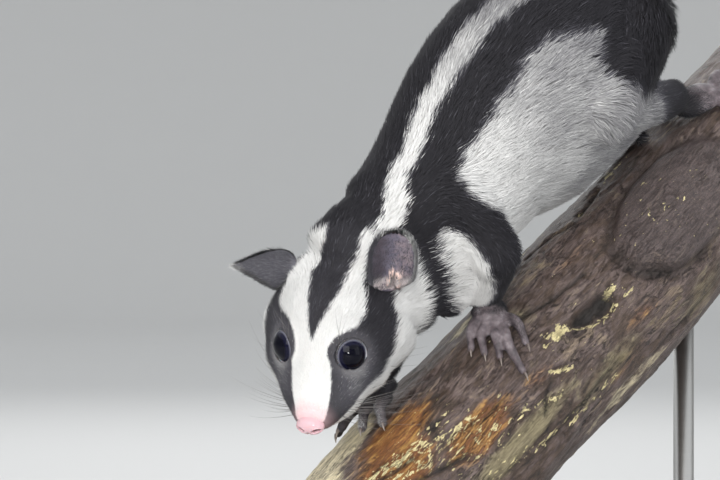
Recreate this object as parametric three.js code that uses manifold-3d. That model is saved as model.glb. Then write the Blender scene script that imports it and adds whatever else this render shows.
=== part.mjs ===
// A life-size striped possum, Dactylopsila trivirgata, climbing head first down a short cut length of branch,
// as a museum would mount it: the branch stands on two rods over a flat base.
// Millimetres, +Z up. The origin is the middle of the base's footprint, on the surface that it stands on.
// The animal is laid out in the perch's own frame: x runs up the branch, y across it to the animal's right,
// and z stands out of the branch's top. The head has a frame of its own: x to the nose, y to its left and z
// to its crown.
import * as THREE from "three";
import { mergeVertices } from "three/addons/utils/BufferGeometryUtils.js";
import Module from "manifold-3d";

const wasm = await Module();
wasm.setup();

// Driving dimensions
const GAP = 0.3;
const SHORTEST_EDGE = 0.03;
const PERCH_RISE = THREE.MathUtils.degToRad(39);
const PERCH_RADIUS = 33;
const PERCH_FROM = -122;
const PERCH_TO = 186;
const PERCH_HEIGHT = 140;
const PERCH_SHIFT = -22;
const EYE_RADIUS = 6.4;
const EYE_SPREAD = 10.3;
const EYE_OPENING = 5.6;
const EAR_THICKNESS = 1.3;
const NOSE_WIDTH = 9.4;
const TAIL_FUR = 20;
const BASE = { length: 236, width: 150, thickness: 14, corner: 16 };
const ROD_RADIUS = 4;
const ROD_SUNK = 11;
const EYE_MIDDLE = new THREE.Vector3(-64.2, -3, 70.5);
const HEAD_FORWARD = new THREE.Vector3(-0.897, -0.25, -0.364);
const HEAD_LEFT = new THREE.Vector3(0.408, -0.786, -0.464);

// Colours and finishes, one for each kind of surface
function finish(color, roughness, metalness = 0) {
  return new THREE.MeshStandardMaterial({ color, roughness, metalness });
}

const DARK_FUR = finish(0x201c1d, 0.9);
const PALE_FUR = finish(0xb9b8b6, 0.9);
const EAR_SKIN = finish(0x4a4046, 0.8);
const NOSE_SKIN = finish(0xd99a98, 0.5);
const PAW_SKIN = finish(0x8d7474, 0.7);
const EYE_SURFACE = finish(0x0a0808, 0.08);
const BARK = finish(0x6b4a2c, 0.85);
const BASE_FINISH = finish(0x2b2522, 0.45);
const ROD_METAL = finish(0x8c8a86, 0.35, 1);

// A smooth function through rows of [place, value, value, ...].
function through(rows) {
  const slope = (i, k) => {
    const a = rows[Math.max(i - 1, 0)];
    const b = rows[Math.min(i + 1, rows.length - 1)];
    return (b[k] - a[k]) / (b[0] - a[0]);
  };
  return (place) => {
    const t = THREE.MathUtils.clamp(place, rows[0][0], rows[rows.length - 1][0]);
    let i = 0;
    while (i < rows.length - 2 && t > rows[i + 1][0]) i += 1;
    const span = rows[i + 1][0] - rows[i][0];
    const f = (t - rows[i][0]) / span;
    const g = f * f * (3 - 2 * f);
    return rows[i].slice(1).map((value, j) => {
      const rise = rows[i + 1][j + 1] - value;
      const bend = f * (1 - f) * span * ((1 - f) * slope(i, j + 1) - f * slope(i + 1, j + 1));
      return value + rise * g + bend;
    });
  };
}

// A closed tube along a spine, made from a sphere whose poles are drawn to the two ends.
// spine(t) gives a point and section(t) gives [half width, height above, depth below].
// side is the width's direction. mould, if given, moves each point along its outward direction, and grow
// makes every face stand out by that much.
function loft({ spine, section, side, around, along, round = [0.12, 0.12], grow = 0, mould }) {
  const geometry = new THREE.SphereGeometry(1, around, along);
  const { uv, position } = geometry.attributes;
  for (let i = 0; i < position.count; i += 1) {
    const turn = 2 * Math.PI * ((i % (around + 1)) % around) / around;
    const t = spread(1 - uv.getY(i));
    position.setXYZ(i, ...loftPoint({ spine, section, side, round, grow, mould }, t, turn).toArray());
  }
  return geometry;
}

// The share of the way along a loft for a share of its rings, with the rings closer together at both ends.
function spread(share) {
  return share - 0.09 * Math.sin(2 * Math.PI * share);
}

function loftPoint({ spine, section, side, round = [0.12, 0.12], grow = 0, mould }, t, turn) {
  const step = 1e-3;
  const ahead = new THREE.Vector3(...spine(Math.min(t + step, 1)));
  const tangent = ahead.sub(new THREE.Vector3(...spine(Math.max(t - step, 0)))).normalize();
  const across = side.clone().addScaledVector(tangent, -side.dot(tangent)).normalize();
  const upward = tangent.clone().cross(across);
  const end = Math.min(t / round[0], (1 - t) / round[1], 1);
  const swell = Math.sqrt(Math.max(1 - (1 - end) ** 2, 0));
  const [width, above, below] = section(t);
  const cos = Math.cos(turn);
  const sin = Math.sin(turn);
  const tall = sin > 0 ? above : below;
  const point = new THREE.Vector3(...spine(t));
  point.addScaledVector(across, (width * swell + grow * swell) * cos);
  point.addScaledVector(upward, (tall * swell + grow * swell) * sin);
  point.addScaledVector(tangent, grow * (t < 0.5 ? -1 : 1) * Math.sqrt(1 - swell * swell));
  return mould ? mould(point, new THREE.Vector3(0, cos, sin).multiplyScalar(swell)) : point;
}

// A solid from a closed three.js geometry, and the other way round.
function solid(geometry) {
  const bare = geometry.clone();
  bare.deleteAttribute("normal");
  bare.deleteAttribute("uv");
  const merged = mergeVertices(bare, 1e-4);
  const made = new wasm.Manifold(new wasm.Mesh({
    numProp: 3,
    vertProperties: merged.attributes.position.array,
    triVerts: new Uint32Array(merged.index.array),
  }));
  return made.volume() < 0 ? solid(turned(geometry)) : made;
}

// The same closed surface with its faces turned round.
function turned(geometry) {
  const other = geometry.clone();
  const order = other.index.array;
  for (let i = 0; i < order.length; i += 3) [order[i + 1], order[i + 2]] = [order[i + 2], order[i + 1]];
  return other;
}

function largest(shape) {
  return shape.decompose().reduce((a, b) => (a.volume() > b.volume() ? a : b));
}

function join(...shapes) {
  return shapes.reduce((a, b) => a.add(b));
}

function without(shape, ...cutters) {
  return largest(cutters.reduce((a, b) => a.subtract(b), shape));
}

// The same shape with the ends of its very short edges, which cuts leave behind, drawn together.
function tidied(shape) {
  const mesh = shape.getMesh();
  const same = Array.from({ length: mesh.numVert }, (_, i) => i);
  const root = (i) => (same[i] === i ? i : root(same[i]));
  const at = (i) => new THREE.Vector3().fromArray(mesh.vertProperties, i * mesh.numProp);
  const faces = [];
  for (let i = 0; i < mesh.triVerts.length; i += 3) faces.push([...mesh.triVerts.subarray(i, i + 3)]);
  for (const face of faces) {
    face.forEach((a, k) => {
      const b = face[(k + 1) % 3];
      const [low, high] = [Math.min(root(a), root(b)), Math.max(root(a), root(b))];
      if (at(a).distanceTo(at(b)) < SHORTEST_EDGE) same[high] = low;
    });
  }
  const kept = faces.map((face) => face.map(root)).filter(([a, b, c]) => a !== b && b !== c && c !== a);
  const vertices = new Float32Array(mesh.numVert * 3);
  for (let i = 0; i < mesh.numVert; i += 1) at(i).toArray(vertices, i * 3);
  try {
    return largest(new wasm.Manifold(new wasm.Mesh({
      numProp: 3, vertProperties: vertices, triVerts: new Uint32Array(kept.flat()),
    })));
  } catch {
    return shape;
  }
}

function geometryOf(shape) {
  const mesh = shape.getMesh();
  const vertices = new Float32Array(mesh.numVert * 3);
  for (let i = 0; i < mesh.numVert; i += 1) {
    vertices.set(mesh.vertProperties.subarray(i * mesh.numProp, i * mesh.numProp + 3), i * 3);
  }
  const geometry = new THREE.BufferGeometry();
  geometry.setAttribute("position", new THREE.BufferAttribute(vertices, 3));
  geometry.setIndex(new THREE.BufferAttribute(new Uint32Array(mesh.triVerts), 1));
  geometry.computeVertexNormals();
  return geometry;
}

const object = new THREE.Group();
const perch = new THREE.Group();
perch.position.set(PERCH_SHIFT, 0, PERCH_HEIGHT);
perch.rotation.y = -PERCH_RISE;
object.add(perch);

function place(group, name, shape, material) {
  const mesh = new THREE.Mesh(geometryOf(tidied(shape)), material);
  mesh.name = name;
  group.add(mesh);
}

const ACROSS = new THREE.Vector3(0, 1, 0);

// The branch
// Its surface waves gently, has one round knot on the near side, and narrows a little towards its upper end.
const KNOT = { x: 62, turn: THREE.MathUtils.degToRad(72), reach: 17, height: 4.5 };

// The branch's radius at a place x along it, turn radians round from its top towards the animal's left.
function perchRadius(x, turn) {
  const slow = 0.7 * Math.sin(x / 17 + 2 * turn) + 0.6 * Math.sin(x / 41 - 3 * turn + 1);
  const waves = slow + 0.35 * Math.sin(5 * turn + x / 29);
  const round = Math.atan2(Math.sin(turn - KNOT.turn), Math.cos(turn - KNOT.turn)) * PERCH_RADIUS;
  const away = ((x - KNOT.x) ** 2 + round ** 2) / KNOT.reach ** 2;
  return PERCH_RADIUS + waves + KNOT.height * Math.exp(-away);
}

// A point on the branch, turn degrees round from its top to the animal's left, so high above the bark.
function onPerch(x, degrees, height) {
  const turn = THREE.MathUtils.degToRad(degrees);
  const radius = perchRadius(x, turn) + height;
  return [x, -radius * Math.sin(turn), radius * Math.cos(turn)];
}

function perchShape(grow) {
  const around = 24;
  const along = 18;
  const geometry = new THREE.CylinderGeometry(1, 1, 1, around, along);
  const { position } = geometry.attributes;
  for (let i = 0; i < position.count; i += 1) {
    const x = THREE.MathUtils.lerp(PERCH_FROM - grow, PERCH_TO + grow, position.getY(i) + 0.5);
    const flat = new THREE.Vector2(position.getX(i), position.getZ(i));
    const turn = Math.atan2(flat.x, flat.y);
    const radius = flat.length() < 0.5 ? 0 : perchRadius(x, turn) + grow;
    position.setXYZ(i, x, -radius * Math.sin(turn), radius * Math.cos(turn));
  }
  return solid(geometry);
}

// The trunk
// Rows: share of the way from neck to rump, then x, y and z of the middle, and the section's half width,
// height and depth.
const TRUNK_SPINE = through([
  [0, -27, 1.5, 78], [0.2, -4, 0, 78], [0.36, 18, 0, 80], [0.55, 50, 0, 84],
  [0.72, 82, 0, 85], [0.88, 112, 0, 82], [1, 139, 0, 78],
]);
const TRUNK_SECTION = through([
  [0, 16, 22, 27], [0.12, 22, 27, 36], [0.22, 27, 28, 39], [0.32, 29.5, 30, 36], [0.42, 32, 34, 35],
  [0.54, 35, 39, 44], [0.64, 37, 41, 46.5], [0.76, 38, 41, 46], [0.88, 33, 35, 37], [1, 22, 21, 22],
]);

function trunkShape(grow = 0) {
  return solid(loft({
    spine: TRUNK_SPINE, section: TRUNK_SECTION, side: ACROSS, around: 26, along: 22, round: [0.1, 0.2], grow,
  }));
}

// The neck, from inside the head to inside the chest. It is parted from the trunk by a plane across it.
const NECK_CUT = [0.97, 0, -0.24];
const NECK_AT = -41;
const NECK_SECTION = through([[0, 13, 17, 18], [0.3, 16.5, 24, 26], [0.65, 19.5, 26.5, 33], [1, 23, 26, 36]]);

function neckShape(grow = 0) {
  const path = new THREE.CatmullRomCurve3([
    new THREE.Vector3(-24, 0, -5).applyMatrix4(headFrame),
    new THREE.Vector3(-33, 3, 76),
    new THREE.Vector3(...TRUNK_SPINE(0.24)),
  ]);
  return solid(loft({
    spine: (t) => path.getPoint(t).toArray(), section: NECK_SECTION, side: ACROSS,
    around: 20, along: 10, round: [0.3, 0.3], grow,
  }));
}

// The head
const HEAD_BACK = -39;
const HEAD_FRONT = 26;
const headFrame = new THREE.Matrix4();
const headUp = HEAD_FORWARD.clone().cross(HEAD_LEFT).normalize();
headFrame.makeBasis(HEAD_FORWARD.clone().normalize(), headUp.clone().cross(HEAD_FORWARD).normalize(), headUp);
headFrame.setPosition(EYE_MIDDLE);

// Rows: millimetres ahead of the eyes, half width, and the heights of crown and chin over the eyes' line.
const HEAD_PROFILE = through([
  [HEAD_BACK, 15, 5, -25], [-30, 19, 11, -28], [-20, 21, 13.6, -28.5], [-11, 19.8, 12.6, -27],
  [-4, 17.8, 10.4, -24.4], [0, 16.8, 8.2, -22.8], [6, 13.2, 4.8, -20.6], [12, 10.4, 1.4, -18],
  [18, 8.2, -1.6, -15], [22, 6.8, -3, -12.8], [HEAD_FRONT, 5.6, -4, -11],
]);

// Rises and hollows on the head: place, reach, and how far the surface stands out there.
const HEAD_FORMS = [
  { at: [0, 13.5, 3], reach: 7.5, height: -2.4 },
  { at: [-8, 12, 11], reach: 8, height: 1.2 },
  { at: [-15, 20, -20], reach: 14, height: 10.5 },
  { at: [3, 14, -15], reach: 11, height: 5.8 },
  { at: [14, 8, -12], reach: 8, height: 3.8 },
  { at: [9, 9, 3], reach: 5, height: -0.9 },
];

// The muzzle turns a little to the animal's left as it goes forward of the eyes.
const MUZZLE_TURN = 2.8;
const muzzleTurn = (ahead) => MUZZLE_TURN * THREE.MathUtils.smoothstep(ahead, -4, 24);

function headMould(point, out) {
  for (const { at, reach, height } of HEAD_FORMS) {
    for (const hand of [1, -1]) {
      const away = point.distanceTo(new THREE.Vector3(at[0], at[1] * hand, at[2]));
      point.addScaledVector(out, height * Math.exp(-((away / reach) ** 2)) / (at[1] === 0 ? 2 : 1));
    }
  }
  point.y += muzzleTurn(point.x);
  return point;
}

const headX = (t) => THREE.MathUtils.lerp(HEAD_BACK, HEAD_FRONT, t);
const HEAD = {
  spine: (t) => {
    const [, crown, chin] = HEAD_PROFILE(headX(t));
    return [headX(t), 0, (crown + chin) / 2];
  },
  section: (t) => {
    const [width, crown, chin] = HEAD_PROFILE(headX(t));
    return [width, (crown - chin) / 2, (crown - chin) / 2];
  },
  side: ACROSS,
  round: [0.16, 0.055],
  mould: headMould,
};

function headShape(grow = 0) {
  return solid(loft({ ...HEAD, around: 30, along: 26, grow }));
}

function ball(radius, at, around = 18, along = 11) {
  const geometry = new THREE.SphereGeometry(radius, around, along);
  geometry.translate(...at);
  return geometry;
}

const eyeAt = (hand) => [-1.3, EYE_SPREAD * hand, -1.6];
const eyeAxis = (hand) => new THREE.Vector3(0.52, 0.66 * hand, 0.52).normalize();

// The rim of skin round an eye.
function lid(hand) {
  const tube = 1.05;
  const rim = new THREE.TorusGeometry(EYE_OPENING + tube * 0.7, tube, 5, 18);
  const out = Math.sqrt(EYE_RADIUS ** 2 - EYE_OPENING ** 2);
  rim.applyQuaternion(new THREE.Quaternion().setFromUnitVectors(new THREE.Vector3(0, 0, 1), eyeAxis(hand)));
  rim.translate(...new THREE.Vector3(...eyeAt(hand)).addScaledVector(eyeAxis(hand), out).toArray());
  return solid(rim);
}

// The line of the mouth, which runs back from under the nose along each side of the muzzle.
function mouthLine(hand) {
  const path = (t) => {
    const ahead = THREE.MathUtils.lerp(HEAD_FRONT - 1.2, 3, t);
    const turn = THREE.MathUtils.degToRad(THREE.MathUtils.lerp(62, 26, Math.sqrt(t)));
    const share = (ahead - HEAD_BACK) / (HEAD_FRONT - HEAD_BACK);
    return loftPoint(HEAD, share, hand > 0 ? -turn : Math.PI + turn).toArray();
  };
  return solid(loft({
    spine: path, section: () => [0.5, 0.6, 0.6], side: new THREE.Vector3(0, 0, 1),
    around: 6, along: 12, round: [0.05, 0.15],
  }));
}

function noseShape() {
  const pad = ball(1, [0, 0, 0], 16, 10);
  pad.scale(3.2, NOSE_WIDTH / 2, 3.2);
  pad.translate(HEAD_FRONT - 0.6, MUZZLE_TURN, -6.8);
  const holes = [1, -1].map((hand) => {
    const hole = ball(1, [0, 0, 0], 8, 5);
    hole.scale(1.6, 0.75, 1.05);
    hole.rotateZ(0.75 * hand);
    hole.translate(HEAD_FRONT + 1.2, MUZZLE_TURN + 2.3 * hand, -6.7);
    return solid(hole);
  });
  const cleft = new THREE.BoxGeometry(2, 0.5, 4);
  cleft.translate(HEAD_FRONT + 2.8, MUZZLE_TURN, -9.2);
  return without(solid(pad), ...holes, solid(cleft));
}

// Each ear is a thin leaf curled into a cup round its own length.
// axis runs from root to tip and open points out of the cup, both in the head's frame.
// The leaf narrows from the share broad of its length on, bluntly for a great full and a small point.
const EARS = {
  left: {
    hand: 1, at: [-24, 20.4, 3.6], axis: [-0.45, 0.14, 0.89], open: [0.66, 0.5, 0.6],
    width: 9.8, broad: 0.42, full: 2, point: 0.5, length: 25,
  },
  right: {
    hand: -1, at: [-28, -13, 8.4], axis: [0.09, -0.99, -0.1], open: [-0.1, -0.1, -1],
    width: 10.6, broad: 0.14, full: 1.1, point: 1.25, length: 23.6,
  },
};

function earShape({ hand, at, axis, open, width, broad, full, point, length }) {
  const around = 14;
  const geometry = new THREE.SphereGeometry(1, around, 11);
  const { uv, position } = geometry.attributes;
  for (let i = 0; i < position.count; i += 1) {
    const turn = 2 * Math.PI * ((i % (around + 1)) % around) / around;
    const t = 1 - uv.getY(i);
    const narrow = THREE.MathUtils.clamp((t - broad) / (1 - broad), 0, 1);
    const leaf = width * Math.min(1, Math.sqrt(t / 0.15) * 0.5 + t * 1.2) * (1 - narrow ** full) ** point;
    const thick = EAR_THICKNESS * (1 - 0.35 * t) * Math.min(1, 12 * t, 9 * (1 - t));
    const curl = THREE.MathUtils.lerp(6.2, 13, t);
    const angle = leaf * Math.cos(turn) / curl;
    const radius = curl + 0.5 * thick * Math.sin(turn);
    const along = length * t + 0.8 * Math.sin(angle) ** 2;
    position.setXYZ(i, radius * Math.sin(angle), along, curl - radius * Math.cos(angle));
  }
  const along3 = new THREE.Vector3(...axis).normalize();
  const open3 = new THREE.Vector3(...open);
  open3.addScaledVector(along3, -open3.dot(along3)).normalize();
  const frame = new THREE.Matrix4().makeBasis(along3.clone().cross(open3), along3, open3);
  frame.setPosition(...at);
  geometry.applyMatrix4(frame);
  const root = ball(1, [0, 0, 0], 10, 6);
  root.scale(6, 5, 5);
  root.translate(at[0], at[1] - 2 * hand, at[2] - 1);
  return join(solid(geometry), solid(root));
}

// A limb's length between two joints, thicker at one end than at the other.
function limb({ from, to, thick, flat = 1, around = 14, along = 9, bow = [0, 0, 0], grow = 0 }) {
  const a = new THREE.Vector3(...from);
  const b = new THREE.Vector3(...to);
  const lie = b.clone().sub(a).normalize();
  const run = a.distanceTo(b) + thick[0] + thick[thick.length - 1];
  a.addScaledVector(lie, -thick[0]);
  b.addScaledVector(lie, thick[thick.length - 1]);
  const size = through(thick.map((value, i) => [i / (thick.length - 1), value]));
  const side = new THREE.Vector3(0, 0, 1).cross(lie).normalize();
  return solid(loft({
    spine: (t) => a.clone().lerp(b, t).addScaledVector(new THREE.Vector3(...bow), 4 * t * (1 - t)).toArray(),
    section: (t) => [size(t)[0], size(t)[0] * flat, size(t)[0] * flat],
    side, around, along, round: [thick[0] / run, thick[thick.length - 1] / run], grow,
  }));
}

// A finger or toe through its joints, with a curved claw at its end. Joints are places on the branch.
function digit({ joints, thick, claw }) {
  const points = joints.map((joint) => onPerch(...joint));
  const spine = through(points.map((point, i) => [i / (points.length - 1), ...point]));
  const finger = loft({
    spine, section: (t) => [thick * (1.1 - 0.35 * t), thick * (1.05 - 0.3 * t), thick * (1.05 - 0.3 * t)],
    side: new THREE.Vector3(0.6, 0.35, 0.72), around: 6, along: 7, round: [0.1, 0.09],
  });
  if (!claw) return solid(finger);
  const tip = new THREE.Vector3(...points[points.length - 1]);
  const lie = tip.clone().sub(new THREE.Vector3(...points[points.length - 2])).normalize();
  const rise = new THREE.Vector3(0, tip.y, tip.z).normalize();
  const hook = loft({
    spine: (t) => {
      const point = tip.clone().addScaledVector(lie, claw * (t - 0.25));
      return point.addScaledVector(rise, thick * 0.35 + claw * (0.3 * t - 0.5 * t * t)).toArray();
    },
    section: (t) => [0.75 * (1 - 0.75 * t), 0.95 * (1 - 0.75 * t), 0.95 * (1 - 0.75 * t)],
    side: rise.clone().cross(lie), around: 4, along: 4, round: [0.2, 0.15],
  });
  return join(solid(finger), solid(hook));
}

// A palm or sole: a flat pad over the branch between two places.
function palm({ from, to, thick, flat = 0.55 }) {
  const a = onPerch(...from);
  const b = onPerch(...to);
  const rise = new THREE.Vector3(0, (a[1] + b[1]) / 2, (a[2] + b[2]) / 2).normalize();
  const lie = new THREE.Vector3(...b).sub(new THREE.Vector3(...a)).normalize();
  const size = through(thick.map((value, i) => [i / (thick.length - 1), value]));
  return solid(loft({
    spine: (t) => new THREE.Vector3(...a).lerp(new THREE.Vector3(...b), t).toArray(),
    section: (t) => [size(t)[0], size(t)[0] * flat, size(t)[0] * flat],
    side: rise.clone().cross(lie), around: 10, along: 6, round: [0.3, 0.3],
  }));
}

// The place inside a palm where a digit starts, for its share of the way across the hand.
function rootIn({ from, to }, share) {
  const back = 0.62 + 0.16 * share;
  return to.map((value, k) => THREE.MathUtils.lerp(from[k], value, back) + [0, 5, 0.3][k] * (share - 0.5));
}

// Hands and feet. A digit's joints are [x along the branch, degrees round to the left, height over the bark].
const LIMBS = {
  arm_left: {
    parts: ["upper_arm_left", "forearm_left", "hand_left"],
    first: { from: [5, -18, 81], to: [3, -27, 58], thick: [15.5, 13, 9.5] },
    second: { from: [3, -27, 57], to: [1, -9, 42], thick: [8.8, 8, 6] },
    palm: { from: [0, 11, 6.5], to: [-6, 24, 3.8], thick: [5.4, 6.4, 5.8] },
    digits: [
      { joints: [[-7, 14, 4], [-14, 17, 4.6], [-20, 24, 2.2]], thick: 1.9, claw: 2.6 },
      { joints: [[-8, 21, 4], [-14, 25, 4.8], [-19, 33, 2.2]], thick: 1.9, claw: 2.6 },
      { joints: [[-8, 26, 4], [-12, 33, 5], [-17, 42, 2.2]], thick: 1.9, claw: 2.8 },
      { joints: [[-6, 30, 4], [-12, 42, 5], [-15.5, 58, 2.1]], thick: 2, claw: 3.4 },
      { joints: [[-2, 28, 4], [-2.5, 37, 5], [-6, 48, 2.2]], thick: 1.9, claw: 2.8 },
    ],
  },
  arm_right: {
    parts: ["upper_arm_right", "forearm_right", "hand_right"],
    first: { from: [-2, 18, 80], to: [-8, 27, 56], thick: [15.5, 13, 9.5] },
    second: { from: [-8, 27, 55], to: [-41, 6, 43], thick: [8.8, 8, 6] },
    palm: { from: [-42, -7, 6.8], to: [-52, -11, 4], thick: [5.6, 6.6, 6] },
    digits: [
      { joints: [[-50, -2, 4], [-57, 5, 5.4], [-62, 13, 2.4]], thick: 2.1, claw: 2.8 },
      { joints: [[-52, -6, 4], [-60, -3, 5.4], [-67, 2, 2.3]], thick: 2.1, claw: 2.8 },
      { joints: [[-53, -12, 4], [-61, -14, 5.2], [-68, -19, 2.3]], thick: 2.1, claw: 3 },
      { joints: [[-51, -18, 4], [-58, -28, 5.2], [-64, -42, 2.1]], thick: 2, claw: 3.4 },
      { joints: [[-47, -17, 4], [-48, -29, 4.8], [-50, -42, 2.2]], thick: 1.9, claw: 2.8 },
    ],
  },
  leg_left: {
    parts: ["thigh_left", "shin_left", "foot_left"],
    first: { from: [107, -17, 82], to: [70, -27, 70], thick: [25, 21, 14] },
    second: { from: [70, -27, 68], to: [113, -15, 46], thick: [13, 11, 7.5] },
    palm: { from: [113, 20, 8.5], to: [133, 26, 4.5], thick: [6.8, 7.8, 7] },
    digits: [
      { joints: [[120, 20, 4], [121, 6, 4.6], [119, -10, 2.6]], thick: 2.6 },
      { joints: [[131, 24, 4], [140, 19, 4.8], [149, 17, 2.2]], thick: 2.1, claw: 3.4 },
      { joints: [[132, 29, 4], [143, 26, 4.8], [153, 27, 2.2]], thick: 2.1, claw: 3.4 },
      { joints: [[132, 34, 4], [144, 35, 5], [156, 39, 2.2]], thick: 2.2, claw: 3.6 },
      { joints: [[130, 38, 4], [140, 44, 4.8], [150, 52, 2.2]], thick: 2.1, claw: 3.4 },
    ],
  },
  leg_right: {
    parts: ["thigh_right", "shin_right", "foot_right"],
    first: { from: [99, 17, 82], to: [62, 27, 70], thick: [25, 21, 14] },
    second: { from: [62, 27, 68], to: [98, 17, 46], thick: [13, 11, 7.5] },
    palm: { from: [98, -26, 7.5], to: [116, -36, 4], thick: [6.4, 7.2, 6.4] },
    digits: [
      { joints: [[105, -24, 4], [105, -10, 4.6], [102, 2, 2.6]], thick: 2.6 },
      { joints: [[115, -29, 4], [124, -24, 4.8], [133, -22, 2.2]], thick: 2.1, claw: 3.4 },
      { joints: [[116, -34, 4], [127, -32, 4.8], [137, -33, 2.2]], thick: 2.1, claw: 3.4 },
      { joints: [[116, -39, 4], [128, -41, 5], [139, -46, 2.2]], thick: 2.2, claw: 3.6 },
      { joints: [[114, -44, 4], [123, -51, 4.8], [132, -60, 2.2]], thick: 2.1, claw: 3.4 },
    ],
  },
};

// The tail leaves the rump along the back and hangs down clear of the branch's upper end.
const TAIL_SPINE = through([
  [0, 126, 0, 80], [0.1, 160, 1, 93], [0.21, 196, 2, 96], [0.32, 229, 2, 82], [0.43, 247, 1, 52],
  [0.54, 244, 0, 17], [0.65, 231, -1, -17], [0.76, 217, -2, -50], [0.88, 209, -2, -86], [1, 217, -1, -122],
]);
const TAIL_THICK = through([
  [0, 0.62], [0.08, 0.8], [0.25, 0.95], [0.5, 1], [0.75, 1], [0.88, 0.85], [0.95, 0.6], [1, 0.3],
]);
const TAIL_CUTS = [0.37, 0.7];
const TAIL_LENGTH = 325;

// The tail's core reaches half way to the tips of its fur. Locks cover it, each over the roots of the next.
const CORE_SHARE = 0.48;
const LOCKS = { rings: 10, each: 5, length: 56, width: 12, thickness: 1.7, from: 0.035, to: 0.94 };

function tailCore(grow = 0) {
  const size = (t) => TAIL_FUR * CORE_SHARE * TAIL_THICK(t)[0];
  return solid(loft({
    spine: (t) => TAIL_SPINE(t * 0.965),
    section: (t) => [size(t), size(t), size(t)],
    side: ACROSS, around: 8, along: 14,
    round: [0.03, 0.04], grow,
  }));
}

// The tail's middle line, carried straight on past its tip, with the directions along it, across it and out
// of its top.
function tailFrame(share) {
  const inside = Math.min(share, 0.995);
  const behind = new THREE.Vector3(...TAIL_SPINE(inside - 0.005));
  const along = new THREE.Vector3(...TAIL_SPINE(inside + 0.005)).sub(behind).normalize();
  const at = new THREE.Vector3(...TAIL_SPINE(inside)).addScaledVector(along, (share - inside) * TAIL_LENGTH);
  const across = ACROSS.clone().addScaledVector(along, -ACROSS.dot(along)).normalize();
  return { at, along, across, up: along.clone().cross(across) };
}

// One lock of tail fur: flat, tapered, rooted in the core and leaning back over it, curving a little aside.
function tailLock({ share, turn, length, width, drift }, grow) {
  const out = ({ across, up }, angle) => {
    return across.clone().multiplyScalar(Math.cos(angle)).addScaledVector(up, Math.sin(angle));
  };
  const place = (t) => {
    const along = share + (t * length) / TAIL_LENGTH;
    const frame = tailFrame(along);
    const full = TAIL_FUR * Math.max(TAIL_THICK(Math.min(along, 1))[0], 0.34);
    const reach = full * (0.3 + 0.8 * Math.sqrt(t) - 0.04 * t);
    return frame.at.addScaledVector(out(frame, turn + drift * t), reach);
  };
  const middle = tailFrame(share + (0.5 * length) / TAIL_LENGTH);
  return solid(loft({
    spine: (t) => place(t).toArray(),
    section: (t) => {
      const half = width * Math.min(0.55 + 1.3 * t, 1.25 * Math.sqrt(1 - 0.94 * t));
      const thick = LOCKS.thickness * (1 - 0.55 * t);
      return [half, thick, thick];
    },
    side: out(middle, turn + drift / 2).cross(middle.along), around: 5, along: 4, round: [0.1, 0.12], grow,
  }));
}

// Every lock of the tail, ring by ring, with the rings turned so that each lock covers a gap between others.
function tailLocks() {
  const next = randomFrom(20.5);
  const locks = [];
  for (let ring = 0; ring < LOCKS.rings; ring += 1) {
    const share = THREE.MathUtils.lerp(LOCKS.from, LOCKS.to, ring / (LOCKS.rings - 1));
    const thin = TAIL_THICK(share)[0];
    const each = thin < 0.9 ? LOCKS.each - 1 : LOCKS.each;
    for (let i = 0; i < each; i += 1) {
      locks.push({
        share: share + 0.008 * (next() - 0.5),
        turn: (2 * Math.PI * (i + 0.5 * (ring % 2) + 0.2 * (next() - 0.5))) / each,
        length: LOCKS.length * (0.4 + 0.6 * Math.min(thin, 1)) * (0.94 + 0.16 * next()),
        width: LOCKS.width * (0.35 + 0.65 * thin),
        drift: 0.18 * (next() - 0.5),
      });
    }
  }
  return locks;
}

// A repeatable run of numbers from 0 to 1.
function randomFrom(seed) {
  let state = seed;
  return () => {
    state = (state * 9301 + 49297) % 233280;
    return state / 233280;
  };
}

// A length of the tail between two shares of it, with the locks that are rooted there.
function tailPart(from, to, grow = 0) {
  let core = tailCore(grow);
  if (from > 0) core = tailCut(core, from, true);
  if (to < 1) core = tailCut(core, to, false);
  const start = from > 0 ? from + 0.004 : -1;
  const rooted = tailLocks().filter(({ share }) => share >= start && share < to - 0.01);
  return join(core, ...rooted.map((lock) => tailLock(lock, grow)));
}

// The part of a shape on one side of a plane across the tail at a share of its length.
function tailCut(shape, share, keepTip) {
  const { at, along } = tailFrame(share);
  if (!keepTip) along.negate();
  return shape.trimByPlane(along.toArray(), at.dot(along) + GAP / 2);
}

// Building

const toPerch = (shape) => shape.transform([...headFrame.elements]);
const trunk = trunkShape();
const head = [1, -1].reduce((shape, hand) => {
  const socket = solid(ball(EYE_RADIUS + GAP, eyeAt(hand)));
  return shape.add(lid(hand)).subtract(socket).subtract(mouthLine(hand));
}, headShape());
const headGrown = toPerch(headShape(GAP));
const body = without(join(trunk, neckShape()), headGrown);
const bodyGrown = join(trunkShape(GAP), neckShape(GAP));
const eyes = { left: 1, right: -1 };

place(perch, "head", toPerch(largest(head)), DARK_FUR);
for (const [side, hand] of Object.entries(eyes)) {
  place(perch, `eye_${side}`, toPerch(solid(ball(EYE_RADIUS, eyeAt(hand), 18, 11))), EYE_SURFACE);
}
place(perch, "nose", toPerch(without(noseShape(), headShape(GAP))), NOSE_SKIN);
for (const [side, ear] of Object.entries(EARS)) {
  place(perch, `ear_${side}`, without(toPerch(earShape(ear)), headGrown, bodyGrown), EAR_SKIN);
}

place(perch, "neck", body.trimByPlane(NECK_CUT.map((n) => -n), GAP / 2 - NECK_AT), DARK_FUR);
place(perch, "torso", largest(body.trimByPlane(NECK_CUT, NECK_AT + GAP / 2)), DARK_FUR);

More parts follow.
